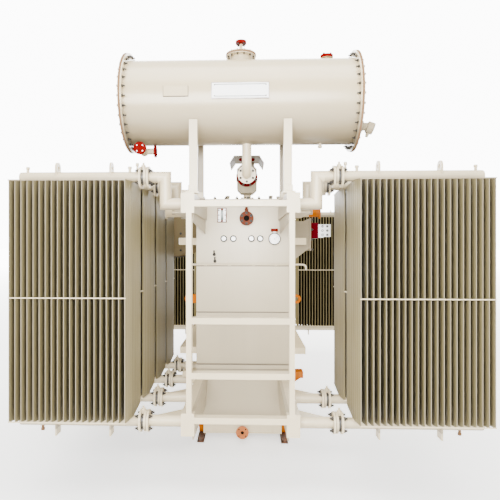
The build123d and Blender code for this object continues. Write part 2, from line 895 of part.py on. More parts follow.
# Oil pipe from the drum's underside round a bend to the relay valve
relay_x = axis_x + relay_offset
bend_end_y = drum_y + relay_bend_radius
with BuildPart() as drum_pipe:
    with BuildLine(Plane.YZ.offset(relay_x)) as drum_pipe_path:
        bend = RadiusArc(
            (bend_end_y, relay_level),
            (drum_y, relay_level + relay_bend_radius),
            relay_bend_radius,
        )
        Line(bend @ 1, (drum_y, drum_level - drum_radius / 2))
    with BuildSketch(Plane.XZ.offset(-bend_end_y)):
        with Locations((relay_x, relay_level)):
            Circle(relay_pipe_radius)
    sweep(path=drum_pipe_path.wires()[0])
    cut_drum()
    with BuildSketch(Plane.XZ.offset(-bend_end_y)):
        with Locations((relay_x, relay_level)):
            Circle(relay_flange_radius)
    extrude(amount=-relay_flange_thickness)
write_piece(drum_pipe.part, "drum_pipe")

# Valve ahead of the gas relay
valve_start = bend_end_y + relay_flange_thickness
with BuildPart() as relay_valve:
    with BuildSketch(Plane.XZ.offset(-valve_start)):
        with Locations((relay_x, relay_level)):
            Circle(relay_valve_radius)
    extrude(amount=-relay_valve_length)
    with BuildSketch(Plane.XZ.offset(-valve_start)):
        with Locations((relay_x, relay_level)):
            Circle(relay_valve_near_radius)
    extrude(amount=-relay_flange_thickness)
    with BuildSketch(Plane.XZ.offset(-valve_start - relay_valve_length + relay_flange_thickness)):
        with Locations((relay_x, relay_level)):
            Circle(relay_valve_far_radius)
    extrude(amount=-relay_flange_thickness)
write_piece(relay_valve.part, "relay_valve")

# Gas relay body, chamfered top and bottom
relay_start = valve_start + relay_valve_length
relay_body_level = relay_level - relay_body_lowering
with BuildPart() as relay:
    with BuildSketch(Plane.XZ.offset(-relay_start)):
        with Locations((relay_x, relay_body_level)):
            body = Rectangle(relay_body_width, relay_body_height)
        chamfer(body.vertices(), relay_body_chamfer)
    extrude(amount=-relay_body_length)
write_piece(relay.part, "gas_relay")

# Pipe from the relay round a bend down onto the tank cover
relay_end = relay_start + relay_body_length
tank_pipe_y = -half_length + relay_tank_inset
with BuildPart() as tank_pipe:
    with BuildLine(Plane.YZ.offset(relay_x)) as tank_pipe_path:
        run = Line((relay_end, relay_level), (tank_pipe_y - relay_bend_radius, relay_level))
        bend = RadiusArc(run @ 1, (tank_pipe_y, relay_level - relay_bend_radius), relay_bend_radius)
        Line(bend @ 1, (tank_pipe_y, cover_level))
    with BuildSketch(Plane.XZ.offset(-relay_end)):
        with Locations((relay_x, relay_level)):
            Circle(relay_pipe_radius)
    sweep(path=tank_pipe_path.wires()[0])
    with BuildSketch(Plane.XZ.offset(-relay_end)):
        with Locations((relay_x, relay_level)):
            Circle(relay_flange_radius)
    extrude(amount=-relay_flange_thickness)
    with BuildSketch(Plane.XY.offset(cover_level)):
        with Locations((relay_x, tank_pipe_y)):
            Circle(relay_pad_radius)
    extrude(amount=relay_pad_thickness)
write_piece(tank_pipe.part, "tank_pipe")

# Bent sheet hood over the relay on two posts
relay_top = relay_body_level + relay_body_height / 2
hood_middle = relay_start + relay_body_length / 2
half_hood = hood_width / 2
hood_edge = half_hood + hood_flap_out
with BuildPart() as relay_hood:
    with BuildSketch(Plane.XZ.offset(-hood_middle + hood_length / 2)):
        with BuildLine():
            Polyline(
                (relay_x - hood_edge, hood_level - hood_flap_drop),
                (relay_x - half_hood, hood_level),
                (relay_x + half_hood, hood_level),
                (relay_x + hood_edge, hood_level - hood_flap_drop),
                (relay_x + hood_edge - hood_sheet, hood_level - hood_flap_drop),
                (relay_x + half_hood - hood_sheet, hood_level - hood_sheet),
                (relay_x - half_hood + hood_sheet, hood_level - hood_sheet),
                (relay_x - hood_edge + hood_sheet, hood_level - hood_flap_drop),
                close=True,
            )
        make_face()
    extrude(amount=-hood_length)
    with BuildSketch(Plane.XY.offset(relay_top)):
        with Locations(*[(relay_x, hood_middle + way * hood_post_spread) for way in (-1, 1)]):
            Rectangle(hood_post_width, hood_post_width)
    extrude(amount=hood_level - hood_sheet - relay_top)
write_piece(relay_hood.part, "relay_hood")

# Sight gauge with a recessed window
sight_plane = front_wall.offset(sight_depth)
with BuildPart() as sight_gauge:
    with BuildSketch(front_wall):
        with Locations((axis_x + sight_offset, sight_level)):
            Rectangle(sight_width, sight_height)
    extrude(amount=sight_depth)
    with BuildSketch(sight_plane):
        with Locations((axis_x + sight_offset, sight_level)):
            Rectangle(sight_slot_width, sight_height - 2 * sight_slot_margin)
    extrude(amount=-sight_slot_depth, mode=Mode.SUBTRACT)
write_piece(sight_gauge.part, "sight_gauge")


def round_run(x, level, runs, start_plane):
    """Round sections one after another out of a wall: each run is a radius and a length."""
    reach = 0
    for radius, length in runs:
        with BuildSketch(start_plane.offset(reach)) as section:
            with Locations((x, level)):
                Circle(radius)
        extrude(section.sketch, amount=length)
        reach += length


# Filter valve high on the end wall, with its stem
filter_x = axis_x + filter_offset
filter_reach = filter_stub_length + filter_body_length
with BuildPart() as filter_valve:
    round_run(
        filter_x,
        filter_level,
        (
            (filter_pipe_radius, filter_stub_length),
            (filter_body_radius, filter_body_length),
            (filter_flange_radius, filter_flange_thickness),
        ),
        front_wall,
    )
    with BuildSketch(front_wall.offset(filter_reach + filter_flange_thickness)):
        with Locations((filter_x, filter_level)):
            Circle(filter_bore_radius)
    extrude(amount=-filter_body_length, mode=Mode.SUBTRACT)
    stem_y = -half_length - filter_stub_length - filter_body_length / 2
    with BuildSketch(Plane.XY.offset(filter_level + filter_bore_radius)):
        with Locations((filter_x, stem_y)):
            Circle(filter_stem_radius)
    extrude(amount=filter_stem_height - filter_bore_radius)
write_piece(filter_valve.part, "filter_valve")

# Four thermometer pockets with round heads
with BuildPart() as pockets:
    for offset in pocket_offsets:
        round_run(
            axis_x + offset,
            pocket_level,
            ((pocket_boss_radius, pocket_depth / 2), (pocket_radius, pocket_depth / 2)),
            front_wall,
        )
write_piece(pockets.part, "thermometer_pockets")

# Dial thermometer on a boss, with a capped stem above
dial_x = axis_x + half_width - dial_edge_gap
with BuildPart() as dial:
    round_run(
        dial_x,
        dial_level,
        ((dial_boss_radius, dial_stand), (dial_radius, dial_depth)),
        front_wall,
    )
    stem_bottom = dial_level + dial_boss_radius
    cap_bottom = dial_level + dial_radius + dial_cap_gap
    with BuildSketch(front_wall.offset(dial_stand)):
        with Locations((dial_x, (stem_bottom + cap_bottom) / 2)):
            Rectangle(dial_stem_width, cap_bottom - stem_bottom)
        with Locations((dial_x, cap_bottom + dial_cap_height / 2)):
            Rectangle(dial_cap_width, dial_cap_height)
    extrude(amount=dial_depth)
write_piece(dial.part, "dial_thermometer")

# Cable conduit across the end wall on clips, turned down at its right end
conduit_y = half_length + wall_band_depth + conduit_radius
conduit_run = conduit_left_reach + conduit_right_reach
with BuildPart() as conduit:
    with BuildLine(Plane.XZ.offset(conduit_y)) as conduit_path:
        run = Line(
            (axis_x - conduit_left_reach, conduit_level),
            (axis_x + conduit_right_reach - conduit_bend_radius, conduit_level),
        )
        bend = RadiusArc(
            run @ 1,
            (axis_x + conduit_right_reach, conduit_level - conduit_bend_radius),
            conduit_bend_radius,
        )
        Line(bend @ 1, (axis_x + conduit_right_reach, conduit_level - conduit_drop))
    with BuildSketch(Plane.YZ.offset(axis_x - conduit_left_reach)):
        with Locations((-conduit_y, conduit_level)):
            Circle(conduit_radius)
    sweep(path=conduit_path.wires()[0])
    clip_xs = [axis_x - half_width + share * tank_width for share in conduit_clip_shares]
    with BuildSketch(front_wall):
        with Locations(*[(x, conduit_level) for x in clip_xs]):
            Rectangle(conduit_clip_width, conduit_clip_width)
    extrude(amount=wall_band_depth + conduit_radius)
write_piece(conduit.part, "gauge_conduit")

# Drain valve through the base cross beam, with a drilled flange
drain_valve_face = drain_valve_stub_length + drain_valve_body_length + drain_valve_flange_thickness
with BuildPart() as drain_valve:
    round_run(
        axis_x,
        drain_valve_level,
        (
            (drain_valve_pipe_radius, drain_valve_stub_length),
            (drain_valve_body_radius, drain_valve_body_length),
            (drain_valve_flange_radius, drain_valve_flange_thickness),
        ),
        front_wall,
    )
    with BuildSketch(front_wall.offset(drain_valve_face)):
        with Locations((axis_x, drain_valve_level)):
            Circle(drain_valve_bore_radius)
            with PolarLocations(drain_valve_bolt_circle / 2, drain_valve_bolt_count, drain_valve_bolt_turn):
                Circle(drain_valve_bolt_radius)
    extrude(amount=-drain_valve_flange_thickness, mode=Mode.SUBTRACT)
write_piece(drain_valve.part, "drain_valve")

# High-voltage cable box on the left side, its underside rising to the tank
box_outer = half_width + cable_box_depth
with BuildPart() as cable_box:
    with BuildSketch(Plane.XZ.offset(-cable_box_start)):
        with BuildLine():
            Polyline(
                (axis_x - half_width, cable_box_bottom + cable_box_rise),
                (axis_x - half_width, cable_box_top),
                (axis_x - box_outer, cable_box_top),
                (axis_x - box_outer, cable_box_bottom),
                (axis_x - box_outer + cable_box_flat, cable_box_bottom),
                close=True,
            )
        make_face()
    extrude(amount=-cable_box_length)
write_piece(cable_box.part, "cable_box")

# Gland plate under the cable box
gland_width = cable_box_flat - 2 * gland_plate_lip
gland_x = axis_x - box_outer + cable_box_flat / 2
with BuildPart() as gland_plate:
    with BuildSketch(Plane.XY.offset(cable_box_bottom - gland_plate_thickness)):
        with Locations((gland_x, cable_box_start + cable_box_length / 2)):
            Rectangle(gland_width, cable_box_length - 2 * gland_plate_lip)
    extrude(amount=gland_plate_thickness)
write_piece(gland_plate.part, "gland_plate")

# Low-voltage turret on the right side, with an outer flange and brackets under it
turret_middle = turret_start + turret_length / 2
turret_level = (turret_bottom + turret_top) / 2
turret_height = turret_top - turret_bottom
bus_ys = [turret_start + bus_first_inset + step * bus_pitch for step in range(3)]
bracket_ys = (turret_start, turret_start + turret_length - turret_bracket_thickness)
with BuildPart() as turret:
    with BuildSketch(side_plane(1, half_width)):
        with Locations((turret_middle, turret_level)):
            Rectangle(turret_length, turret_height)
    extrude(amount=turret_reach)
    with BuildSketch(side_plane(1, half_width + turret_reach)):
        with Locations((turret_middle, turret_level)):
            Rectangle(turret_length + 2 * turret_flange_lip, turret_height + 2 * turret_flange_lip)
    extrude(amount=turret_flange_thickness)
    for y in bracket_ys:
        with BuildSketch(Plane.XZ.offset(-y)):
            with BuildLine():
                Polyline(
                    (axis_x + half_width, turret_bottom),
                    (axis_x + half_width + turret_reach, turret_bottom),
                    (axis_x + half_width, turret_bottom - turret_bracket_depth),
                    close=True,
                )
            make_face()
        extrude(amount=-turret_bracket_thickness)
write_piece(turret.part, "lv_turret")

# Bus bars out of the turret, each in an insulating sleeve and ending in a drilled palm
bus_start = half_width + turret_reach + turret_flange_thickness
palm_x = axis_x + bus_start + bus_length + palm_length
hole_x = palm_x - palm_end_margin - (palm_columns - 1) * palm_column_pitch / 2
bus_level = turret_level + sleeve_wall + turret_flange_lip
with BuildPart() as palms:
    for y in bus_ys:
        with BuildSketch(side_plane(1, bus_start)):
            with Locations((y, bus_level)):
                Rectangle(bus_thickness, bus_width)
        extrude(amount=bus_length + palm_length)
        with BuildSketch(Plane.XZ.offset(-y + bus_thickness / 2)):
            with Locations((hole_x, bus_level)):
                with GridLocations(palm_column_pitch, palm_row_pitch, palm_columns, palm_rows):
                    Circle(palm_hole_radius)
        extrude(amount=-bus_thickness, mode=Mode.SUBTRACT)
write_piece(palms.part, "bus_bars")

for y, name in zip(bus_ys, ("red_bus_sleeve", "yellow_bus_sleeve", "blue_bus_sleeve")):
    with BuildPart() as sleeve:
        with BuildSketch(side_plane(1, bus_start)):
            with Locations((y, bus_level)):
                Rectangle(bus_thickness + 2 * sleeve_wall, bus_width + 2 * sleeve_wall)
                Rectangle(bus_thickness, bus_width, mode=Mode.SUBTRACT)
        extrude(amount=bus_length)
        with BuildSketch(side_plane(1, bus_start)):
            with Locations((y, bus_level)):
                Rectangle(collar_width, collar_height)
                Rectangle(bus_thickness, bus_width, mode=Mode.SUBTRACT)
        extrude(amount=collar_thickness)
    write_piece(sleeve.part, name)

# Lifting bollards near the upper corners
bollard_y = half_length - bollard_inset
bollard_places = [(-bollard_y, bollard_level), (bollard_y, bollard_level)]
with BuildPart() as bollards:
    with BuildSketch(side_plane(1, half_width)):
        with Locations(*bollard_places):
            Circle(bollard_radius)
    extrude(amount=bollard_reach)
    with BuildSketch(side_plane(1, half_width + bollard_reach)):
        with Locations(*bollard_places):
            Circle(bollard_disc_radius)
    extrude(amount=bollard_disc_thickness)
    mirror(about=middle_plane)
write_piece(bollards.part, "lifting_bollards")

# Hauling eyes on the tank sides
haul_y = half_length - haul_inset
with BuildPart() as hauling_eyes:
    with BuildSketch(Plane.XZ.offset(haul_y)):
        with Locations((axis_x + half_width + haul_reach / 2, haul_level)):
            Rectangle(haul_reach, 2 * haul_radius)
        with Locations((axis_x + half_width + haul_reach, haul_level)):
            Circle(haul_radius)
            Circle(haul_hole_radius, mode=Mode.SUBTRACT)
    extrude(amount=haul_thickness)
    mirror(about=middle_plane)
    mirror(about=Plane.XZ)
write_piece(hauling_eyes.part, "hauling_eyes")

# Jacking brackets near the bottom corners: a plate on a tapered gusset
jack_y = half_length - jack_inset
with BuildPart() as jacking_brackets:
    with BuildSketch(side_plane(1, half_width)):
        with Locations((-jack_y, jack_level - jack_plate / 2)):
            Rectangle(jack_length, jack_plate)
    extrude(amount=jack_depth)
    with BuildSketch(Plane.XZ.offset(jack_y - jack_gusset_thickness / 2)):
        with BuildLine():
            Polyline(
                (axis_x + half_width, jack_level - jack_plate),
                (axis_x + half_width + jack_depth, jack_level - jack_plate),
                (axis_x + half_width, jack_level - jack_plate - jack_gusset_height),
                close=True,
            )
        make_face()
    extrude(amount=jack_gusset_thickness)
    mirror(about=middle_plane)
    mirror(about=Plane.XZ)
write_piece(jacking_brackets.part, "jacking_brackets")
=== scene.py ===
"""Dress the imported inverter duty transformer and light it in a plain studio.

Metres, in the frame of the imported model: +Z up, the conservator end towards -Y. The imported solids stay
where they are and get their paint here. The fluted fins, bolts, gauges and other small pieces are
surfaces worked out as arrays of points.
"""

import json
from collections import namedtuple

import bpy
import numpy as np
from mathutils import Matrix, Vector


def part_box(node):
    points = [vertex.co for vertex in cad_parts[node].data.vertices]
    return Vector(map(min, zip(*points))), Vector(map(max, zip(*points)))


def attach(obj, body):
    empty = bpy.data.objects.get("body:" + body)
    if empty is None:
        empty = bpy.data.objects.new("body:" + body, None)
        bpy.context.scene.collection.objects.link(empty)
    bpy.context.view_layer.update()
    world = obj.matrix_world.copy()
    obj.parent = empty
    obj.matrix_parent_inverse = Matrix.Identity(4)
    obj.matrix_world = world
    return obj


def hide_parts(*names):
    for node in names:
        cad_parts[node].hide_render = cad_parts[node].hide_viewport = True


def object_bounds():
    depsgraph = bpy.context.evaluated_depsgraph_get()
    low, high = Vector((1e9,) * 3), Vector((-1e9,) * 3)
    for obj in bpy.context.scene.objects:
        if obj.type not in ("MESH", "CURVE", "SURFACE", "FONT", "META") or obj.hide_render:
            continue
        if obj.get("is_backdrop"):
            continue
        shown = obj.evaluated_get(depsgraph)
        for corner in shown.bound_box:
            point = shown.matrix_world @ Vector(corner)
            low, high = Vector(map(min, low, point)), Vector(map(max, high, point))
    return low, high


bl_info = {
    "name": "Inverter duty transformer",
    "version": (1, 0, 0),
    "blender": (4, 5, 0),
    "location": "View3D > Sidebar > Transformer",
    "description": "Dresses an oil-filled transformer with fluted fins, bolts, gauges and paint",
    "category": "Object",
}

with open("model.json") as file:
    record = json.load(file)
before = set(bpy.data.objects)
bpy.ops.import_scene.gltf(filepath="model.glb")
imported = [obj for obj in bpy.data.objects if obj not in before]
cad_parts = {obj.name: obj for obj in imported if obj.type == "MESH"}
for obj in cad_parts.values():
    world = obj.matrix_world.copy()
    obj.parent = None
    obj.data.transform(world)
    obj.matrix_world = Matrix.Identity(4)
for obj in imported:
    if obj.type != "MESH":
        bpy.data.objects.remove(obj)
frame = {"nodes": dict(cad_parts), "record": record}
CAD_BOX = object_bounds()
NODES = frame["nodes"]

# Places that many pieces share
TANK_LOW, TANK_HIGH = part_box("tank_shell")
COVER_LOW, COVER_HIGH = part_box("tank_cover")
DRUM_LOW, DRUM_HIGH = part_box("conservator_drum")
WALL_LOW, WALL_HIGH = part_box("tank_floor")
AXIS_X = (TANK_LOW.x + TANK_HIGH.x) / 2
FRONT_Y = WALL_LOW.y
DRUM_Y = (DRUM_LOW.y + DRUM_HIGH.y) / 2
DRUM_Z = (DRUM_LOW.z + DRUM_HIGH.z) / 2
TURN = 2 * np.pi
LEFT, RIGHT = (-1, 0, 0), (1, 0, 0)
FRONT, REAR = (0, -1, 0), (0, 1, 0)
DOWN = (0, 0, -1)

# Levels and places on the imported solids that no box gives
RADIATOR_PITCH = 0.605
LAST_FIN_LEFT, LAST_FIN_RIGHT = 1.693, 1.811
LUG_SHARES = np.array([0.2, 0.69])
TOP_PIPE_REACH = 0.64
HEADER_EDGE = 0.371
CORNER_PAD_LEVEL, CORNER_PAD_HALF = 1.945, 0.04
SIDE_BEAM_TOP = 0.912
FRONT_PADS_END = -1.2
WALL_SHADOW_LINES = (1.706, 1.255, 1.204, 0.750, 0.699)
DRUM_RADIUS = 0.333
LEG_SIDE, LEG_DEPTH = 0.360, 0.25
TURRET_LEVEL = 2.015
BEAM_SIDE = 0.340
DIAL_LEVEL = 1.968
POCKET_LEVEL = 1.971
POCKET_SIDES = (-0.1805, -0.0878, 0.0868, 0.1717)
FILTER_LEVEL = 2.165
WHEEL_LEVEL = 2.622

# Finish of each material slot, and of the nodes that differ from their slot
SLOT_FINISHES = {
    "tank_paint": "cream_paint",
    "radiator_paint": "fin_paint",
    "valve_iron": "header_paint",
    "red_paint": "red_gloss",
    "orange_paint": "orange_gloss",
    "primer_orange": "primer_paint",
    "rail_steel": "rail_rust",
    "axle_steel": "turned_steel",
    "white_enamel": "white_gloss",
    "bus_metal": "tinned_bar",
    "red_sleeve": "sleeve_red",
    "yellow_sleeve": "sleeve_yellow",
    "blue_sleeve": "sleeve_blue",
    "conduit_steel": "cream_paint",
}
NODE_FINISHES = {
    "conservator_drum": "drum_paint",
    "left_end_cover": "drum_paint",
    "right_end_cover": "drum_paint",
    "pad_plate": "drum_paint",
    "name_plate": "turned_steel",
    "conservator_legs": "leg_paint",
    "tank_shell": "wall_paint",
    "side_stiffeners": "pad_paint",
    "top_headers": "frame_paint",
    "bottom_headers": "frame_paint",
    "top_pipes": "header_paint",
    "bottom_pipes": "header_paint",
    "radiator_tie_bars": "header_paint",
    "radiator_valves": "valve_paint",
    "cable_box": "shaded_paint",
    "gland_plate": "shaded_paint",
    "lv_turret": "turret_paint",
    "gas_relay": "relay_paint",
    "relay_hood": "relay_paint",
    "relay_valve": "lit_red",
    "filter_valve": "lit_primer",
    "drain_valve": "drain_paint",
    "drum_drain_tee": "tee_paint",
    "vent_pipe": "vent_paint",
    "filler_nozzle": "filler_paint",
    "dial_thermometer": "dial_paint",
    "lifting_bollards": "bollard_paint",
    "jacking_brackets": "jack_paint",
}


def length_of(label, words, value):
    """One length as a property."""
    return bpy.props.FloatProperty(name=label, description=words, default=value, unit="LENGTH")


def count_of(label, words, value, least):
    """One whole number as a property."""
    return bpy.props.IntProperty(name=label, description=words, default=value, min=least)


def colour_of(label, words, value):
    """One paint colour as a property."""
    return bpy.props.FloatVectorProperty(
        name=label, description=words, default=value, size=3, min=0.0, max=1.0, subtype="COLOR"
    )


class RadiatorSizes(bpy.types.PropertyGroup):
    """Sizes of the panel radiators."""

    fin_pitch: length_of("Fin pitch", "From one fin to the next", 0.045)
    fin_width: length_of("Fin width", "Across one fin", 0.52)
    fin_thickness: length_of("Fin thickness", "Over the pressed channels", 0.011)
    seam_thickness: length_of("Seam thickness", "Of the two welded sheets", 0.0034)
    channel_count: count_of("Channels", "Oil channels pressed across each fin", 7, 1)
    rim_share: bpy.props.FloatProperty(
        name="Rim", description="Share of the half width that is flat seam", default=0.05, subtype="FACTOR"
    )
    left_standoff: length_of("Left standoff", "From the middle plane to the first fin", 0.832)
    right_standoff: length_of("Right standoff", "From the middle plane to the first fin", 0.860)
    bottom_shoulder: length_of("Bottom shoulder", "From the bottom pipe to the straight edge", 0.062)
    top_shoulder: length_of("Top shoulder", "From the top pipe to the straight edge", 0.046)
    neck_width: length_of("Neck", "Fin width where it meets a pipe", 0.056)
    pipe_radius: length_of("Pipe radius", "Of the header pipes", 0.04445)
    pipe_flat: length_of("Pipe flat", "From a pipe's middle to its flat", 0.034)
    top_level: length_of("Top pipe", "Height of the top pipes", 2.430)
    low_level: length_of("Low pipe", "Height where the top pipes enter the headers", 2.222)
    bottom_level: length_of("Bottom pipe", "Height of the bottom pipes", 0.543)


class FastenerSizes(bpy.types.PropertyGroup):
    """Bolt sizes, each the radius of the thread."""

    small: length_of("Small", "Gauges and plates", 0.005)
    drum: length_of("Drum", "Drum end flanges", 0.0055)
    middle: length_of("Middle", "Cover and box flanges", 0.008)
    large: length_of("Large", "Radiator valve flanges", 0.008)
    drum_count: count_of("Drum bolts", "Bolts round each end of the conservator", 32, 3)
    cover_pitch: length_of("Cover pitch", "Bolt spacing round the tank cover", 0.105)


class PaintColours(bpy.types.PropertyGroup):
    """Linear colours of the finishes."""

    cream: colour_of("Cream", "Tank and frame", (0.50, 0.416, 0.268))
    drum: colour_of("Drum", "Conservator drum", (0.46, 0.375, 0.225))
    # Painted shade on the front stiffeners beside the tank
    side: colour_of("Side", "Stiffeners beside the tank, in shade", (0.075, 0.062, 0.03))
    # Painted shade on the cable box, its cover and gland plate, between the radiators and the tank
    box: colour_of("Box", "Cable box behind the radiators", (0.13, 0.10, 0.055))
    fins: colour_of("Fins", "Radiator fins", (0.19, 0.158, 0.078))
    # Painted shade between the fins, and the colour of the fins' dirt streaks
    gap: colour_of("Gap", "Grime between the fins", (0.036, 0.028, 0.016))
    # Painted shade in the gap between the radiator valves' flanges
    wafer_shade: colour_of("Wafer", "Gap between valve flanges", (0.022, 0.019, 0.015))
    dust: colour_of("Dust", "Dust and rain marks", (0.30, 0.25, 0.17))
    # Painted shade on the drum's underside, pipe undersides, the tank wall, inner faces and the rear legs
    shade: colour_of("Shade", "Dirt on undersides and inner faces", (0.14, 0.11, 0.065))
    red: colour_of("Red", "Caps and flanges", (0.105, 0.0001, 0.0008))
    orange: colour_of("Orange", "Rollers, eyes and brackets", (0.30, 0.075, 0.0003))
    primer: colour_of("Primer", "Valve flanges", (0.19, 0.036, 0.009))
    copper: colour_of("Copper", "Face of the drain flange", (0.32, 0.095, 0.024))
    bronze: colour_of("Bronze", "Rims of the drum flanges", (0.15, 0.085, 0.045))
    # Seals, and painted shadow along the pad plate's edges
    gasket: colour_of("Gasket", "Seals and dark edges", (0.035, 0.022, 0.014))
    # Painted shade in the valve mouths and round the bus palms' bolt holes
    bore: colour_of("Bore", "Mouths and bolt holes", (0.006, 0.005, 0.004))
    rust: colour_of("Rust", "Rails", (0.05, 0.025, 0.014))
    white: colour_of("White", "Dials and plates", (0.88, 0.88, 0.87))
    zinc: colour_of("Zinc", "Bolts", (0.035, 0.032, 0.028))
    steel: colour_of("Steel", "Axles and the name plate's edge", (0.42, 0.40, 0.38))
    tin: colour_of("Tin", "Bus palms", (0.80, 0.80, 0.79))
    bezel: colour_of("Bezel", "Rims of the gauges", (0.035, 0.035, 0.035))
    sleeve_red: colour_of("Red sleeve", "First phase", (0.085, 0.0003, 0.005))
    sleeve_yellow: colour_of("Yellow sleeve", "Second phase", (0.45, 0.26, 0.008))
    sleeve_blue: colour_of("Blue sleeve", "Third phase", (0.008, 0.03, 0.20))


class StudioSettings(bpy.types.PropertyGroup):
    """Camera and light."""

    camera_reach: length_of("Camera reach", "Camera's place along Y", -6.386)
    camera_side: length_of("Camera side", "Camera's place right of the tank's middle", 0.0686)
    camera_height: length_of("Camera height", "Above the ground", 1.890)
    camera_turn: bpy.props.FloatProperty(
        name="Camera turn", description="Left of straight ahead", default=np.radians(2.0), subtype="ANGLE"
    )
    lens: bpy.props.FloatProperty(name="Lens", description="Focal length in mm", default=35.71)
    shift_x: bpy.props.FloatProperty(name="Shift X", description="Share of the frame", default=0.0356)
    shift_y: bpy.props.FloatProperty(name="Shift Y", description="Share of the frame", default=-0.006)
    far_glow: bpy.props.FloatProperty(
        name="Far glow", description="Light of the floor far behind, so that it ends in white", default=10.0
    )
    floor_reach: length_of("Floor reach", "Half the side of the floor", 400.0)
    floor: colour_of("Floor", "Studio floor", (0.80, 0.80, 0.79))


# Points and faces of a shape: all polygons' corners in a row, and how many corners each has
Shape = namedtuple("Shape", "points corners sizes")


def grid_shape(points, loop=False):
    """Skin an array of points [row, column, xyz] whose columns run round a closed section.

    A quad joins each point with its neighbours on the next column and row. One face each closes the
    first and last row; loop joins the last row to the first instead, as on a ring.
    """
    rows, columns = points.shape[:2]
    index = np.arange(rows * columns).reshape(rows, columns)
    index = np.column_stack((index, index[:, 0]))
    if loop:
        index = np.vstack((index, index[0]))
    quads = np.stack((index[:-1, :-1], index[:-1, 1:], index[1:, 1:], index[1:, :-1]), axis=-1)
    corners = [quads.ravel()]
    sizes = [np.full(quads.size // 4, 4)]
    if not loop:
        corners +=[index[0, -2::-1], index[-1, :-1]]
        sizes.append(np.array([columns, columns]))
    return Shape(points.reshape(-1, 3), np.concatenate(corners), np.concatenate(sizes))


def turned(profile, sides, loop=False):
    """Turn (radius, height) pairs about Z: x = r cos a, y = r sin a, z = height."""
    radius, height = np.asarray(profile, float).T
    angle = np.arange(sides) * TURN / sides
    across, up = radius[:, None] * np.cos(angle), radius[:, None] * np.sin(angle)
    return grid_shape(np.stack(np.broadcast_arrays(across, up, height[:, None]), axis=-1), loop=loop)


def cylinder(radius, low, high, sides):
    """Round bar about Z."""
    return turned([(radius, low), (radius, high)], sides)


def ring(inner, outer, low, high, sides):
    """Ring about Z with a square section."""
    return turned([(inner, low), (outer, low), (outer, high), (inner, high)], sides, loop=True)


def torus(radius, thick, sides, tube_sides):
    """Round ring about Z: x, y = (R + r cos b)(cos a, sin a), z = r sin b."""
    tube = np.arange(tube_sides) * TURN / tube_sides
    profile = np.column_stack((radius + thick * np.cos(tube), thick * np.sin(tube)))
    return turned(profile, sides, loop=True)


def rectangle(width, height):
    """Corners of a centred rectangle, counter-clockwise."""
    return np.array([(-1, -1), (1, -1), (1, 1), (-1, 1)]) * (width / 2, height / 2)


def plate(width, height, low, high, chamfer=0.0):
    """Carry a centred rectangle up Z from low to high, drawn in at both ends by the chamfer."""
    drawn = rectangle(width - 2 * chamfer, height - 2 * chamfer)
    outline = rectangle(width, height)
    rows = [(drawn, low), (outline, low + chamfer), (outline, high - chamfer), (drawn, high)]
    if not chamfer:
        rows = rows[1:3]
    return grid_shape(np.stack([np.column_stack((row, np.full(4, level))) for row, level in rows]))


def square_ring(width, height, rows):
    """Ring of centred rectangles: each row says how much its rectangle grows, and its level along Z."""
    layers = [
        np.column_stack((rectangle(width + grow, height + grow), np.full(4, level))) for grow, level in rows
    ]
    return grid_shape(np.stack(layers), loop=True)


def joined(shapes):
    """Several shapes as one, with the corner numbers of each moved past the points before it."""
    starts = np.cumsum([0] + [len(shape.points) for shape in shapes[:-1]])
    return Shape(
        np.concatenate([shape.points for shape in shapes]),
        np.concatenate([shape.corners + start for shape, start in zip(shapes, starts)]),
        np.concatenate([shape.sizes for shape in shapes]),
    )


def placed(shape, origins, axis=(0, 0, 1)):
    """Copies of a shape at each origin, its Z turned onto an axis or a list of axes.

    Local X is the level direction across the axis, so a point p goes to o + x s + y t + z a.
    """
    origins = np.atleast_2d(np.asarray(origins, float))
    axes = np.broadcast_to(np.asarray(axis, float), origins.shape)
    axes = axes / np.linalg.norm(axes, axis=1, keepdims=True)
    helper = np.where(np.abs(axes[:, 2:]) > 0.9, (0.0, 1.0, 0.0), (0.0, 0.0, 1.0))
    across = np.cross(helper, axes)
    across = across / np.linalg.norm(across, axis=1, keepdims=True)
    basis = np.stack((across, np.cross(axes, across), axes), axis=1)
    points = np.einsum("ni,kij->knj", shape.points, basis) + origins[:, None, :]
    shift = np.arange(len(origins))[:, None] * len(shape.points)
    return Shape(
        points.reshape(-1, 3),
        (shape.corners[None, :] + shift).ravel(),
        np.tile(shape.sizes, len(origins)),
    )


def lifted(flat, middle, axis):
    """Points of a plane through a middle, normal to the X, Y or Z axis."""
    points = np.zeros((len(flat), 3))
    points[:, [other for other in range(3) if other != axis]] = flat
    return points + np.asarray(middle, float)


def circle_of(middle, radius, count, axis):
    """Points evenly spaced round a circle whose normal is the X, Y or Z axis, from half a step on."""
    angle = (np.arange(count) + 0.5) * TURN / count
    return lifted(np.stack((radius * np.cos(angle), radius * np.sin(angle)), axis=1), middle, axis)


def rim_of(middle, width, height, pitch, axis):
    """Points along the four sides of a rectangle, evenly spaced near a pitch, normal to an axis."""
    across, up = (max(int(round(side / pitch)), 1) for side in (width, height))
    u = np.linspace(-0.5, 0.5, across + 1) * width
    v = np.linspace(-0.5, 0.5, up + 1)[1:-1] * height
    flat = np.concatenate(
        [np.column_stack((u, np.full(len(u), way * height / 2))) for way in (-1, 1)]
        + [np.column_stack((np.full(len(v), way * width / 2), v)) for way in (-1, 1)]
    )
    return lifted(flat, middle, axis)


def bolt(radius, stand=1.0):
    """Washer, hexagon and thread end on Z = 0, in shares of the thread's radius.

    stand is the length of the thread's end.
    """
    washer = [(2.1, 0.0), (2.1, 0.3)]
    nut = [(1.75, 0.3), (1.75, 1.7), (1.45, 1.95)]
    thread = [(1.0, 1.9), (1.0, 1.9 + stand), (0.7, 2.2 + stand)]
    parts = ((washer, 8), (nut, 6), (thread, 6))
    return joined([turned(np.array(profile) * radius, sides) for profile, sides in parts])


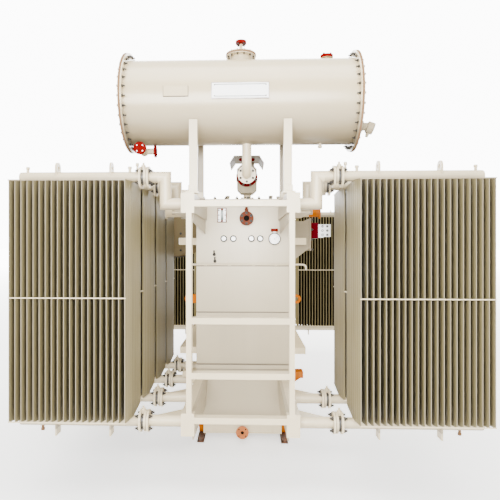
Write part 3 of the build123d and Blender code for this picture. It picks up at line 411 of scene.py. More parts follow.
def make_piece(name, shape, finish):
    """Put a shape into a mesh object that rides on the transformer."""
    mesh = bpy.data.meshes.new(name)
    mesh.vertices.add(len(shape.points))
    mesh.vertices.foreach_set("co", shape.points.astype(np.float32).ravel())
    mesh.loops.add(len(shape.corners))
    mesh.loops.foreach_set("vertex_index", shape.corners.astype(np.int32))
    mesh.polygons.add(len(shape.sizes))
    starts = np.concatenate(([0], np.cumsum(shape.sizes)[:-1]))
    mesh.polygons.foreach_set("loop_start", starts.astype(np.int32))
    mesh.polygons.foreach_set("use_smooth", np.ones(len(shape.sizes), bool))
    mesh.update(calc_edges=True)
    mesh.set_sharp_from_angle(angle=np.radians(32.0))
    mesh.materials.append(bpy.data.materials[finish])
    piece = bpy.data.objects.new(name, mesh)
    bpy.context.scene.collection.objects.link(piece)
    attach(piece, "root")
    return piece


class Shade:
    """A socket of a material. Sums on it add Math nodes, and node() adds any other node."""

    def __init__(self, tree, socket):
        self.tree, self.socket = tree, socket

    def node(self, kind, settings, inputs, output=0):
        """Add a node: its settings first, then the values or links of its sockets."""
        made = self.tree.nodes.new(kind)
        for key, value in settings.items():
            setattr(made, key, value)
        for key, value in inputs.items():
            if isinstance(value, Shade):
                self.tree.links.new(value.socket, made.inputs[key])
            else:
                made.inputs[key].default_value = value
        return Shade(self.tree, made.outputs[output])

    def math(self, operation, left, right=0.0):
        """Math node on one or two values."""
        return self.node("ShaderNodeMath", {"operation": operation}, {0: left, 1: right})

    def __add__(self, other):
        return self.math("ADD", self, other)

    def __radd__(self, other):
        return self.math("ADD", other, self)

    def __sub__(self, other):
        return self.math("SUBTRACT", self, other)

    def __rsub__(self, other):
        return self.math("SUBTRACT", other, self)

    def __mul__(self, other):
        return self.math("MULTIPLY", self, other)

    def __rmul__(self, other):
        return self.math("MULTIPLY", other, self)

    def __or__(self, other):
        return self.math("MAXIMUM", self, other)

    def __gt__(self, other):
        return self.math("GREATER_THAN", self, other)

    def __lt__(self, other):
        return self.math("LESS_THAN", self, other)

    def __abs__(self):
        return self.math("ABSOLUTE", self)

    def axis(self, number):
        """X, Y or Z of a vector."""
        return self.node("ShaderNodeSeparateXYZ", {}, {0: self}, number)

    def noise(self, scale, detail=2.0, stretch=(1.0, 1.0, 1.0)):
        """Cloudy value from 0 to 1 over the surface, its grain drawn out along an axis by stretch."""
        spread = self.node("ShaderNodeVectorMath", {"operation": "MULTIPLY"}, {0: self, 1: stretch})
        return self.node("ShaderNodeTexNoise", {}, {"Vector": spread, "Scale": scale, "Detail": detail})

    def ramp(self, low, high):
        """0 at low, 1 at high, held outside."""
        return self.node("ShaderNodeMapRange", {}, {"Value": self, "From Min": low, "From Max": high})

    def mix(self, first, second):
        """Colour between two by this value."""
        return self.node("ShaderNodeMix", {"data_type": "RGBA"}, {0: self, 6: first, 7: second}, 2)

    def bump(self, strength, distance):
        """Normal of a surface that this value lifts."""
        return self.node("ShaderNodeBump", {}, {"Strength": strength, "Distance": distance, "Height": self})


def tinted(colour, factor=1.0):
    """A colour with its alpha, made lighter or darker."""
    return (*[min(channel * factor, 1.0) for channel in colour[:3]], 1.0)


def new_material(name):
    """An empty finish: its shader and its Object coordinates."""
    if name in bpy.data.materials:
        raise ValueError(f"There is a finish named {name} already")
    material = bpy.data.materials.new(name)
    material.use_nodes = True
    tree = material.node_tree
    place = Shade(tree, tree.nodes.new("ShaderNodeTexCoord").outputs["Object"])
    return tree.nodes["Principled BSDF"].inputs, place


def connect(sockets, name, value):
    """Link a value to a shader socket, or set it where it is the same all over."""
    if isinstance(value, Shade):
        value.tree.links.new(value.socket, sockets[name])
    else:
        sockets[name].default_value = value


def painted(
    name, colour, dust, rough=0.36, grime=0.16, coat=0.15, peel=0.25, gloss=0.5, second=None, where=None
):
    """Sprayed paint: faint clouds, rain streaks of dust, fine orange peel.

    second is another colour that shows where the mask made by where(place) is 1.
    """
    sockets, place = new_material(name)
    clouds = place.noise(1.7, 4.0)
    base = clouds.ramp(0.3, 0.7).mix(tinted(colour, 0.95), tinted(colour, 1.04))
    if second is not None:
        base = where(place).mix(base, tinted(second))
    streaks = place.noise(1.0, 5.0, (14.0, 14.0, 0.9)).ramp(0.52, 0.78)
    specks = place.noise(34.0, 3.0).ramp(0.62, 0.80)
    dirt_and_shade = streaks * grime + specks * (grime * 0.5)
    connect(sockets, "Base Color", dirt_and_shade.mix(base, tinted(dust)))
    connect(sockets, "Roughness", rough + 0.22 * dirt_and_shade + 0.06 * clouds)
    connect(sockets, "Coat Weight", coat)
    connect(sockets, "Coat Roughness", 0.18)
    connect(sockets, "Specular IOR Level", gloss)
    connect(sockets, "Normal", place.noise(190.0).bump(peel, 0.0008))


def metal(name, colour, tarnish, rough, metallic, grain_scale, stretch=(1.0, 1.0, 1.0), gloss=0.5):
    """Bare or plated metal: grain drawn out along one way, blotches of tarnish."""
    sockets, place = new_material(name)
    grain = place.noise(grain_scale, 4.0, stretch)
    blotch = place.noise(9.0, 4.0).ramp(0.42, 0.72)
    base = grain.mix(tinted(colour, 0.8), tinted(colour, 1.2))
    connect(sockets, "Base Color", (blotch * 0.6).mix(base, tinted(tarnish)))
    connect(sockets, "Metallic", metallic)
    connect(sockets, "Specular IOR Level", gloss)
    connect(sockets, "Roughness", rough + 0.18 * grain + 0.12 * blotch)
    connect(sockets, "Normal", grain.bump(0.3, 0.0006))


def beyond(number, level):
    """Mask that is 1 past a level along one axis."""
    return lambda place: place.axis(number) > level


class TRANSFORMER_OT_paint(bpy.types.Operator):
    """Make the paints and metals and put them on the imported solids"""

    bl_idname = "transformer.paint"
    bl_label = "Paint the solids"

    # Paint without a sheen, for colours that a bright studio would wash out
    matt = {"coat": 0.0, "gloss": 0.0}
    sleeve = {"rough": 0.55, "grime": 0.02, **matt}

    def execute(self, context):
        colours = context.scene.transformer_colours
        self.plain_paints(colours)
        self.paints_with_painted_shade(colours, context.scene.transformer_radiators)
        self.capped_paints(colours)
        self.metals(colours)
        slots = {part["node"]: part["material_slot"] for part in frame["record"]["subparts"]}
        for name, solid in NODES.items():
            finish = NODE_FINISHES.get(name, SLOT_FINISHES[slots[name]])
            solid.data.materials.clear()
            solid.data.materials.append(bpy.data.materials[finish])
        return {"FINISHED"}

    def plain_paints(self, colours):
        """Paints with one colour."""
        cream, dust, red = colours.cream, colours.dust, colours.red
        primer, rust = colours.primer, colours.rust
        painted("cream_paint", cream, dust)
        # Lighter strips on the fins' open edges: painted highlight
        painted("seam_paint", tinted(cream, 0.40), dust, rough=0.45, grime=0.15, coat=0.0)
        # The relay, its hood and terminal box and the cover plugs: the cream darkened, painted shade
        painted("relay_paint", tinted(cream, 0.34), dust, rough=0.45, grime=0.3, coat=0.0, gloss=0.05)
        painted("turret_paint", tinted(cream, 0.52), dust, rough=0.42, grime=0.2, coat=0.0, gloss=0.1)
        # Cable box, gland plate and box cover in painted shade
        painted("shaded_paint", colours.box, dust, rough=0.42, grime=0.2, **self.matt)
        painted("red_gloss", red, dust, **self.sleeve)
        # Darker copies of the red and the primer for parts under the wall spot: painted shade against the
        # spot's light
        painted("lit_red", tinted(red, 0.62), dust, rough=0.55, grime=0.01, **self.matt)
        painted("orange_gloss", colours.orange, dust, rough=0.55, grime=0.04, **self.matt)
        painted("primer_paint", primer, rust, rough=0.46, grime=0.30, coat=0.0, gloss=0.25)
        painted("lit_primer", tinted(primer, 0.5), rust, rough=0.5, grime=0.3, coat=0.0, gloss=0.1)
        painted("white_gloss", colours.white, dust, rough=0.25, grime=0.04, coat=0.4, peel=0.05)
        painted("sleeve_red", colours.sleeve_red, dust, **self.sleeve)
        painted("sleeve_yellow", colours.sleeve_yellow, dust, **self.sleeve)
        painted("sleeve_blue", colours.sleeve_blue, dust, **self.sleeve)
        painted("gasket", colours.gasket, dust, rough=0.7, grime=0.2, coat=0.0)
        painted("flange_bronze", colours.bronze, dust, rough=0.4, grime=0.2, **self.matt)
        # Painted shade for valve mouths and round the palm holes
        painted("dark_bore", colours.bore, dust, rough=0.6, grime=0.01, **self.matt)

    def paints_with_painted_shade(self, colours, sizes):
        """Paints with painted shade on undersides, inner faces, the end wall and between the fins."""
        cream, dust, shade, fins, gap = colours.cream, colours.dust, colours.shade, colours.fins, colours.gap
        # Painted shade: the drum darkens from just below its axis to its underside
        belly_shade = {"second": shade, "where": lambda place: (DRUM_Z - place.axis(2)).ramp(0.05, 0.35)}
        painted("drum_paint", colours.drum, dust, rough=0.27, grime=0.10, coat=0.3, peel=0.12, **belly_shade)
        # Painted shade on the tank wall, with painted shadow lines on the end walls
        painted("wall_paint", cream, dust, second=shade, where=self.wall_shade_and_shadow_lines)
        # Painted shade on the inner faces between the headers
        painted("frame_paint", cream, dust, second=shade, where=self.header_inner_shade)
        # Painted shade on the legs behind the drum's middle
        painted("leg_paint", cream, dust, second=tinted(shade, 1.9), where=beyond(1, DRUM_Y))
        # Painted shade on the front stiffeners; the pads, low parts and the stiffeners behind keep the cream
        pads = {"second": tinted(cream, 1.15), "where": self.unshaded_stiffener_parts}
        painted("pad_paint", colours.side, dust, **pads, **self.matt)
        # Painted shade on the undersides of the level pipes
        under = {"second": shade, "where": lambda place: self.pipe_underside_shade(place, sizes)}
        painted("header_paint", cream, dust, rough=0.34, grime=0.14, **under)
        # Painted shade between the fins and on inner faces towards the tank's middle
        fin_gap_shade = {"second": gap, "where": lambda place: self.fin_gap_shade_mask(place, sizes)}
        painted("fin_paint", fins, gap, rough=0.42, grime=0.25, coat=0.0, gloss=0.2, **fin_gap_shade)
        # Banks behind the front: the painted shade between the fins goes near black
        deep_fin_gap_shade = {"second": tinted(gap, 0.2), "where": lambda place: self.fin_gap_shade_mask(place, sizes) * 1.15}
        painted("shaded_fin_paint", fins, gap, rough=0.5, grime=0.25, **deep_fin_gap_shade, **self.matt)

    def capped_paints(self, colours):
        """Paints that change colour at a cap, a flange or a face."""
        cream, dust, red, orange = colours.cream, colours.dust, colours.red, colours.orange
        vent_cap, filler_cap, dial_cap, tee_flange, bollard_neck = 0.026, 0.024, 0.029, 0.015, 0.2
        bollard_edge = AXIS_X + (WALL_HIGH.x - WALL_LOW.x) / 2 + bollard_neck
        for name, colour, cap, where in (
            ("vent_paint", cream, red, beyond(2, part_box("vent_pipe")[1].z - vent_cap)),
            ("filler_paint", cream, red, beyond(2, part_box("filler_nozzle")[1].z - filler_cap)),
            ("dial_paint", colours.white, red, beyond(2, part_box("dial_thermometer")[1].z - dial_cap)),
            ("bollard_paint", cream, orange, beyond(0, bollard_edge)),
            ("jack_paint", cream, orange, beyond(0, AXIS_X)),
        ):
            painted(name, colour, dust, second=cap, where=where, **self.matt)
        low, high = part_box("drum_drain_tee")
        front, right = low.y + tee_flange, high.x - tee_flange
        flanges = {"second": red, "where": lambda place: (place.axis(1) < front) + (place.axis(0) > right)}
        painted("tee_paint", cream, dust, grime=0.03, **flanges, **self.matt)
        # Dark band at the wafer between the valve flanges: painted shade
        valve_low, valve_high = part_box("radiator_valves")
        wafer_shade, wafer_half = (valve_high.x - valve_low.x) / 2 - 0.038, 0.0215
        middle = {
            "second": colours.wafer_shade,
            "where": lambda place: abs(abs(place.axis(0) - AXIS_X) - wafer_shade) < wafer_half,
        }
        painted("valve_paint", cream, dust, grime=0.3, **middle)
        behind = {"second": colours.primer, "where": beyond(1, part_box("drain_valve")[0].y + 0.002)}
        painted("drain_paint", colours.copper, colours.rust, grime=0.15, coat=0.0, gloss=0.2, **behind)

    def metals(self, colours):
        """Bare and plated metals."""
        metal("zinc_bolts", colours.zinc, (0.06, 0.05, 0.04), 0.40, 0.35, 60.0, gloss=0.12)
        metal("turned_steel", colours.steel, (0.12, 0.07, 0.04), 0.28, 1.0, 40.0, (6.0, 1.0, 1.0))
        metal("rail_rust", colours.rust, (0.25, 0.09, 0.03), 0.62, 0.2, 30.0, (1.0, 0.15, 1.0))
        metal("tinned_bar", colours.tin, (0.55, 0.54, 0.52), 0.26, 0.55, 50.0, (0.1, 1.0, 1.0))
        metal("bezel_grey", colours.bezel, (0.02, 0.02, 0.02), 0.45, 0.1, 40.0, gloss=0.1)

    def unshaded_stiffener_parts(self, place):
        """Where the stiffeners keep the cream, not the painted shade: behind the front end, on the pads of
        the front corners and below the side beams' top.
        """
        level = place.axis(2)
        pads = (abs(level - CORNER_PAD_LEVEL) < CORNER_PAD_HALF) + (level < SIDE_BEAM_TOP)
        return pads | (place.axis(1) > FRONT_PADS_END)

    def wall_shade_and_shadow_lines(self, place):
        """Painted shade that deepens towards the floor, and painted shadow lines under the conduit and along
        the bands.
        """
        level = place.axis(2)
        ends = abs(place.axis(1)) > abs(FRONT_Y) - 0.02
        dirt_and_shade = (2.2 - level).ramp(0.3, 2.0) * 0.58
        for line in WALL_SHADOW_LINES:
            dirt_and_shade = dirt_and_shade + (abs(level - line) < 0.006) * ends * 0.8
        return dirt_and_shade

    def header_inner_shade(self, place):
        """Half-strength painted shade on the plates between the headers, clear of the headers' end faces."""
        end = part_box("top_headers")[1].y - 0.06
        return (abs(place.axis(0) - AXIS_X) < HEADER_EDGE) * (abs(place.axis(1)) < end) * 0.5

    def pipe_underside_shade(self, place, sizes):
        """Painted shade from the middle of each level pipe down to its underside."""
        side = abs(place.axis(0) - AXIS_X)
        dirt_and_shade = 0.0
        reaches = {sizes.top_level: TOP_PIPE_REACH, sizes.low_level: 0.0, sizes.bottom_level: 0.0}
        for level, reach in reaches.items():
            below = level - place.axis(2)
            dirt_and_shade = dirt_and_shade + below.ramp(-0.005, 0.05) * (below < 0.06) * (side > reach)
        return dirt_and_shade * 0.75

    def fin_gap_shade_mask(self, place, sizes):
        """Painted shade that deepens away from the fins' open edges, and on inner faces towards the tank's
        middle.

        Each bank's outer face stays unshaded: it lies past the middle of the last fin.

        The radiators stand at one pitch in |y|, so the distance from a fin's middle line is the pitch
        times the distance of (|y| - y1) / pitch from the nearest whole number.
        """
        low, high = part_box("radiator_left_4")
        steps = (abs(place.axis(1)) - abs(low.y + high.y) / 2) * (1 / RADIATOR_PITCH) + 100.5
        aside = abs(steps.math("FRACT", steps) - 0.5) * RADIATOR_PITCH
        inside = (sizes.fin_width / 2 - aside).ramp(0.012, 0.085)
        left = (AXIS_X - sizes.left_standoff - place.axis(0)).ramp(0.004, 0.006)
        right = (place.axis(0) - AXIS_X - sizes.right_standoff).ramp(0.004, 0.006)
        inner_face_shade = (2.25 - abs(place.axis(1))).ramp(0.0, 1.7) * 0.5
        side = abs(place.axis(0) - AXIS_X)
        banks = left * (side < LAST_FIN_LEFT) + right * (side < LAST_FIN_RIGHT)
        return inside * banks * 0.85 + (1 - left - right) * inner_face_shade


def radiators():
    """Name and place of each radiator.

    The place is its side (-1 left, 1 right), its middle along Y, and its least and greatest reach in X
    from the tank's middle.
    """
    for name in sorted(NODES):
        if name.startswith(("radiator_left_", "radiator_right_")):
            low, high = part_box(name)
            side = 1 if (low.x + high.x) / 2 > AXIS_X else -1
            inner, reach = sorted((abs(low.x - AXIS_X), abs(high.x - AXIS_X)))
            yield name, side, (low.y + high.y) / 2, inner, reach


def fin_shape(sizes):
    """One fluted fin about its own middle.

    Across it u runs from -1 to 1. Half width w(z) is straight between the shoulders and falls in a
    straight line to the neck at both pipes. Half thickness is seam + depth |sin(pi n s)|^0.45 over the n
    channels, s being the share of the way across them, and the seam alone on the rim. A point is
    (half thickness, u w(z), z) on one face and (-half thickness, u w(z), z) on the way back.
    """
    seat = sizes.pipe_flat - 0.004
    ease = 0.03
    half, neck = sizes.fin_width / 2, sizes.neck_width / 2
    lower, upper = (
        np.array([seat, (seat + shoulder) / 2, shoulder, shoulder + ease])
        for shoulder in (sizes.bottom_shoulder, sizes.top_shoulder)
    )
    widths = np.array([neck, (neck + half) / 2, half, half])
    depths = np.array([0.25, 0.7, 0.95, 1.0])
    levels = np.concatenate((sizes.bottom_level + lower, sizes.top_level - upper[::-1]))
    widths = np.concatenate((widths, widths[::-1]))
    depths = np.concatenate((depths, depths[::-1]))
    share = np.linspace(0.0, 1.0, 8 * sizes.channel_count + 1)
    inner = 1.0 - sizes.rim_share
    across = np.concatenate(([-1.0], -inner + 2 * inner * share, [1.0]))
    wave = np.abs(np.sin(np.pi * sizes.channel_count * share)) ** 0.45
    wave = np.concatenate(([0.0], wave, [0.0]))
    seam = sizes.seam_thickness / 2
    depth = sizes.fin_thickness / 2 - seam
    thick = seam + depth * depths[:, None] * wave
    wide = widths[:, None] * across
    tall = np.broadcast_to(levels[:, None], wide.shape)
    face = np.stack((thick, wide, tall), axis=-1)
    back = np.stack((-thick, wide, tall), axis=-1)[:, ::-1]
    return grid_shape(np.concatenate((face, back), axis=1))


def header_pipe(start, end, middle_y, level, radius, flat, up):
    """Round pipe along X with one flat towards the fins and a dished outer end.

    The section is (r cos a, r sin a) with its height held at the flat; near the outer end its scale
    falls 1, 0.93, 0.72, 0.3 while X goes on, which makes the dish.
    """
    angle = np.arange(32) * TURN / 32
    height = radius * np.sin(angle)
    height = np.minimum(height, flat) if up else np.maximum(height, -flat)
    section = np.stack((radius * np.cos(angle), height), axis=1)
    way = np.sign(end - start)
    steps = np.array([start, end - way * 0.014, end - way * 0.007, end - way * 0.002, end])
    scale = np.array([1.0, 1.0, 0.93, 0.72, 0.3])
    order = np.argsort(steps)
    steps, scale = steps[order], scale[order]
    points = np.empty((len(steps), len(angle), 3))
    points[..., 0] = steps[:, None]
    points[..., 1] = middle_y + scale[:, None] * section[:, 0]
    points[..., 2] = level + scale[:, None] * section[:, 1]
    return grid_shape(points)


def eye_plate(width, height, hole, thickness):
    """Lifting eye in XY about its hole: round above, square below, Z across its thickness.

    At angle a the edge is half the width where sin a is positive, else where the ray meets the box
    |x| = width / 2, y = -height. The ring's section runs outside up and the hole down.
    """
    sides = 36
    angle = np.arange(sides) * TURN / sides
    half, least = width / 2, 1e-6
    cosine, sine = np.cos(angle), np.sin(angle)
    box = np.minimum(half / np.maximum(np.abs(cosine), least), height / np.maximum(-sine, least))
    edge = np.where(sine >= 0, half, box)
    bore = np.full(sides, hole)
    radii = np.stack((edge, edge, bore, bore))
    levels = np.array([-0.5, 0.5, 0.5, -0.5]) * thickness
    points = np.stack(np.broadcast_arrays(radii * cosine, radii * sine, levels[:, None]), axis=-1)
    return grid_shape(points, loop=True)


class TRANSFORMER_OT_radiators(bpy.types.Operator):
    """Fluted fins, header pipes, lifting eyes, feet and plugs of every radiator"""

    bl_idname = "transformer.radiators"
    bl_label = "Radiators"

    def execute(self, context):
        sizes = context.scene.transformer_radiators
        fin = fin_shape(sizes)
        seam = plate(0.0044, 0.004, sizes.bottom_level + 0.064, sizes.top_level - 0.048)
        fin_middle = 0.005
        outermost = CAD_BOX[1][1] - sizes.fin_width
        for name, side, middle_y, inner, reach in radiators():
            label = name.replace("radiator_", "")
            standoff = sizes.left_standoff if side < 0 else sizes.right_standoff
            count = int((reach - standoff) / sizes.fin_pitch) + 1
            fins_x = AXIS_X + side * (standoff + fin_middle + np.arange(count) * sizes.fin_pitch)
            spots = np.column_stack((fins_x, np.full(count, middle_y), np.zeros(count)))
            behind = 0 < middle_y < outermost
            finish = "shaded_fin_paint" if behind else "fin_paint"
            fins = make_piece(f"fins_{label}", placed(fin, spots), finish)
            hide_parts(name)
            # Lighter strips on the open fin edges of the end banks and the banks behind: painted highlight
            if behind or abs(middle_y) > outermost:
                out = -1 if behind else np.sign(middle_y)
                edge = spots + np.array((0, out * (sizes.fin_width / 2 - 0.001), 0))
                finish = "fin_paint" if behind else "seam_paint"
                make_piece(f"seam_highlights_{label}", placed(seam, edge), finish)
            bank = (count - 1) * sizes.fin_pitch + 2 * fin_middle
            lugs_x = AXIS_X + side * (standoff + LUG_SHARES * bank)
            ends_x = [AXIS_X + side * x for x in (inner, standoff, reach)]
            self.headers(sizes, label, side, middle_y, lugs_x, ends_x)
        return {"FINISHED"}

    def headers(self, sizes, label, side, middle_y, lugs_x, ends_x):
        """Both header pipes of a radiator with its lifting eyes, feet, plugs and vent."""
        eye = eye_plate(0.09, 0.07, 0.016, 0.014)
        foot = plate(0.09, 0.112, -0.007, 0.007, 0.002)
        hexagon = turned([(0.016, 0.026), (0.016, 0.04), (0.012, 0.044)], 6)
        plug = joined([cylinder(0.011, 0, 0.026, 10), hexagon])
        stem = turned([(0.010, 0), (0.010, 0.030), (0.008, 0.032), (0.008, 0.046)], 12)
        vent = joined([stem, turned([(0.013, 0.046), (0.013, 0.068), (0.010, 0.071)], 12)])
        start, first, end = ends_x
        sink = sizes.pipe_radius - 0.003
        top = sizes.top_level + sink
        eyes = [(x, middle_y, sizes.top_level + 0.074) for x in lugs_x]
        feet = [(x, middle_y, sizes.bottom_level - 0.058) for x in lugs_x]
        plugs = [(x, middle_y, top) for x in (end - side * 0.06, first + side * 0.03)]
        pipe = (sizes.pipe_radius, sizes.pipe_flat)
        shapes = [
            header_pipe(start, end, middle_y, sizes.top_level, *pipe, False),
            header_pipe(start, end, middle_y, sizes.bottom_level, *pipe, True),
            placed(eye, eyes, RIGHT),
            placed(foot, feet, RIGHT),
            placed(plug, plugs),
            placed(vent, (start + side * 0.022, middle_y, top)),
        ]
        make_piece(f"headers_{label}", joined(shapes), "header_paint")
        drain = placed(plug, (end - side * 0.18, middle_y, sizes.bottom_level - sink), DOWN)
        make_piece(f"drain_plug_{label}", drain, "flange_bronze")


class TRANSFORMER_OT_valves(bpy.types.Operator):
    """Studs, seat discs and spindles of the radiator valves"""

    bl_idname = "transformer.valves"
    bl_label = "Radiator valves"

    def execute(self, context):
        sizes = context.scene.transformer_radiators
        thread = context.scene.transformer_fasteners.large
        low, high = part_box("radiator_valves")
        outer = (high.x - low.x) / 2
        inner = outer - 0.076
        flange = high.z - sizes.top_level
        circle, rim = flange - 0.018, flange - 0.0025
        disc = turned([(circle, 0), (rim, 0.0015), (rim, 0.0185), (circle, 0.02)], 32)
        gland = turned([(0.018, 0.055), (0.018, 0.092), (0.013, 0.096)], 12)
        spindle = joined([gland, turned([(0.008, 0.094), (0.008, 0.112), (0.006, 0.115)], 8)])
        nut, rod = bolt(thread, 1.4), cylinder(thread, 0, 0.046, 8)
        studs, discs, spindles = [], [], []
        for _, side, middle_y, _, _ in radiators():
            for level in (sizes.top_level, sizes.bottom_level):
                inside, start, seat, outside, stem = (
                    (AXIS_X + side * offset, middle_y, level)
                    for offset in (inner, inner + 0.015, inner + 0.0185, outer, outer - 0.026)
                )
                out, back = (side, 0, 0), (-side, 0, 0)
                studs.append(placed(nut, circle_of(inside, circle, 4, 0), back))
                studs.append(placed(nut, circle_of(outside, circle, 4, 0), out))
                studs.append(placed(rod, circle_of(start, circle, 4, 0), out))
                discs.append(placed(disc, seat, out))
                spindles.append(placed(spindle, stem))
        make_piece("valve_studs", joined(studs), "zinc_bolts")
        make_piece("valve_discs", joined(discs), "header_paint")
        make_piece("valve_spindles", joined(spindles), "header_paint")
        return {"FINISHED"}


class TRANSFORMER_OT_conservator(bpy.types.Operator):
    """Bolts, gaskets, name plate, plug and shoes of the conservator"""

    bl_idname = "transformer.conservator"
    bl_label = "Conservator"

    def execute(self, context):
        sizes = context.scene.transformer_fasteners
        self.end_flanges(sizes)
        self.openings(sizes)
        self.plates()
        plug = turned([(0.012, 0), (0.012, 0.02), (0.017, 0.02), (0.017, 0.034), (0.012, 0.038)], 8)
        spot = (AXIS_X + 0.63, DRUM_Y - 0.02, DRUM_Z - DRUM_RADIUS + 0.003)
        make_piece("drum_plug", placed(plug, spot, DOWN), "header_paint")
        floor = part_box("conservator_legs")[0].z + 0.012
        shoe = plate(0.066, 0.072, 0.0, 0.047, 0.003)
        spots = [(AXIS_X + i * LEG_SIDE, DRUM_Y + k * LEG_DEPTH, floor) for i in (-1, 1) for k in (-1, 1)]
        make_piece("leg_shoes", placed(shoe, spots), "header_paint")
        return {"FINISHED"}

    def end_flanges(self, sizes):
        """Studs inside and bolt heads outside round both ends of the drum, and the gaskets between."""
        stud, head = bolt(sizes.drum, 2.4), bolt(sizes.drum, 0.1)
        flange, half = (DRUM_HIGH.z - DRUM_LOW.z) / 2, 0.014
        band = ring(flange, flange + 0.0015, -0.004, 0.010, 72)
        bolts, gaskets = [], []
        for way, edge in ((-1, DRUM_LOW.x), (1, DRUM_HIGH.x)):
            for shape, stand, axis in ((stud, -half, -way), (head, half, way)):
                middle = (edge + way * stand, DRUM_Y, DRUM_Z)
                spots = circle_of(middle, flange - 0.026, sizes.drum_count, 0)
                bolts.append(placed(shape, spots, (axis, 0, 0)))
            gaskets.append(placed(band, (edge, DRUM_Y, DRUM_Z), (way, 0, 0)))
        make_piece("drum_bolts", joined(bolts), "zinc_bolts")
        make_piece("drum_gaskets", joined(gaskets), "flange_bronze")

    def openings(self, sizes):
        """Bolts of the inspection neck, the vent, the filler and the drain tee, and the neck's gasket."""
        neck_top, vent_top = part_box("inspection_neck")[1].z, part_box("vent_pipe")[1].z
        cap_low, cap_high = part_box("filler_nozzle")
        filler = ((cap_low.x + cap_high.x) / 2, DRUM_Y, cap_high.z)
        small, tiny = bolt(sizes.small, 0.4), bolt(0.004)
        bolts = [
            placed(tiny, circle_of((AXIS_X, DRUM_Y, neck_top), 0.103, 12, 2)),
            placed(tiny, circle_of((AXIS_X, DRUM_Y, neck_top - 0.024), 0.103, 12, 2), DOWN),
            placed(small, circle_of((AXIS_X, DRUM_Y, vent_top - 0.022), 0.033, 4, 2), DOWN),
            placed(small, circle_of(filler, 0.038, 4, 2)),
        ]
        make_piece("neck_bolts", joined(bolts), "zinc_bolts")
        collar = placed(ring(0.1205, 0.1222, -0.007, 0.007, 48), (AXIS_X, DRUM_Y, neck_top - 0.012))
        make_piece("neck_gasket", collar, "flange_bronze")
        tee, tee_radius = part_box("drum_drain_tee")[0], 0.049
        face = (tee.x + tee_radius, tee.y, tee.z + tee_radius)
        bolts = placed(bolt(0.0027, 0.2), circle_of(face, 0.031, 4, 1), FRONT)
        make_piece("drain_tee_bolts", bolts, "white_gloss")

    def plates(self):
        """Face, rivets and two ruled lines of the bare name plate, and dark strips of painted shadow along
        the pad plate's bottom and sides.
        """
        low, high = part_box("name_plate")
        wide, tall = high.x - low.x, high.z - low.z
        x, z = (low.x + high.x) / 2, (low.z + high.z) / 2
        face = plate(wide - 0.012, tall - 0.012, -0.001, 0.004, 0.0015)
        make_piece("name_plate_face", placed(face, (x, low.y, z), FRONT), "white_gloss")
        rivet = turned([(0.005, 0), (0.005, 0.001), (0.003, 0.003)], 8)
        corners = rim_of((x, low.y - 0.004, z), wide - 0.05, tall - 0.04, 1.0, 1)
        make_piece("name_plate_rivets", placed(rivet, corners, FRONT), "bezel_grey")
        line = plate(wide - 0.058, 0.0045, 0.003, 0.0046)
        spots = [(x, low.y, z + way * (tall / 2 - 0.017)) for way in (-1, 1)]
        make_piece("name_plate_lines", placed(line, spots, FRONT), "bezel_grey")
        # Dark strips along the pad plate's bottom and sides: painted shadow
        low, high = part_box("pad_plate")
        depth = (-0.006, 0.0008)
        sides = [(x, low.y, (low.z + high.z) / 2) for x in (low.x, high.x)]
        edges = [
            placed(plate(high.x - low.x, 0.004, *depth), ((low.x + high.x) / 2, low.y, low.z), FRONT),
            placed(plate(0.0025, high.z - low.z, *depth), sides, FRONT),
        ]
        make_piece("pad_plate_edges", joined(edges), "gasket")


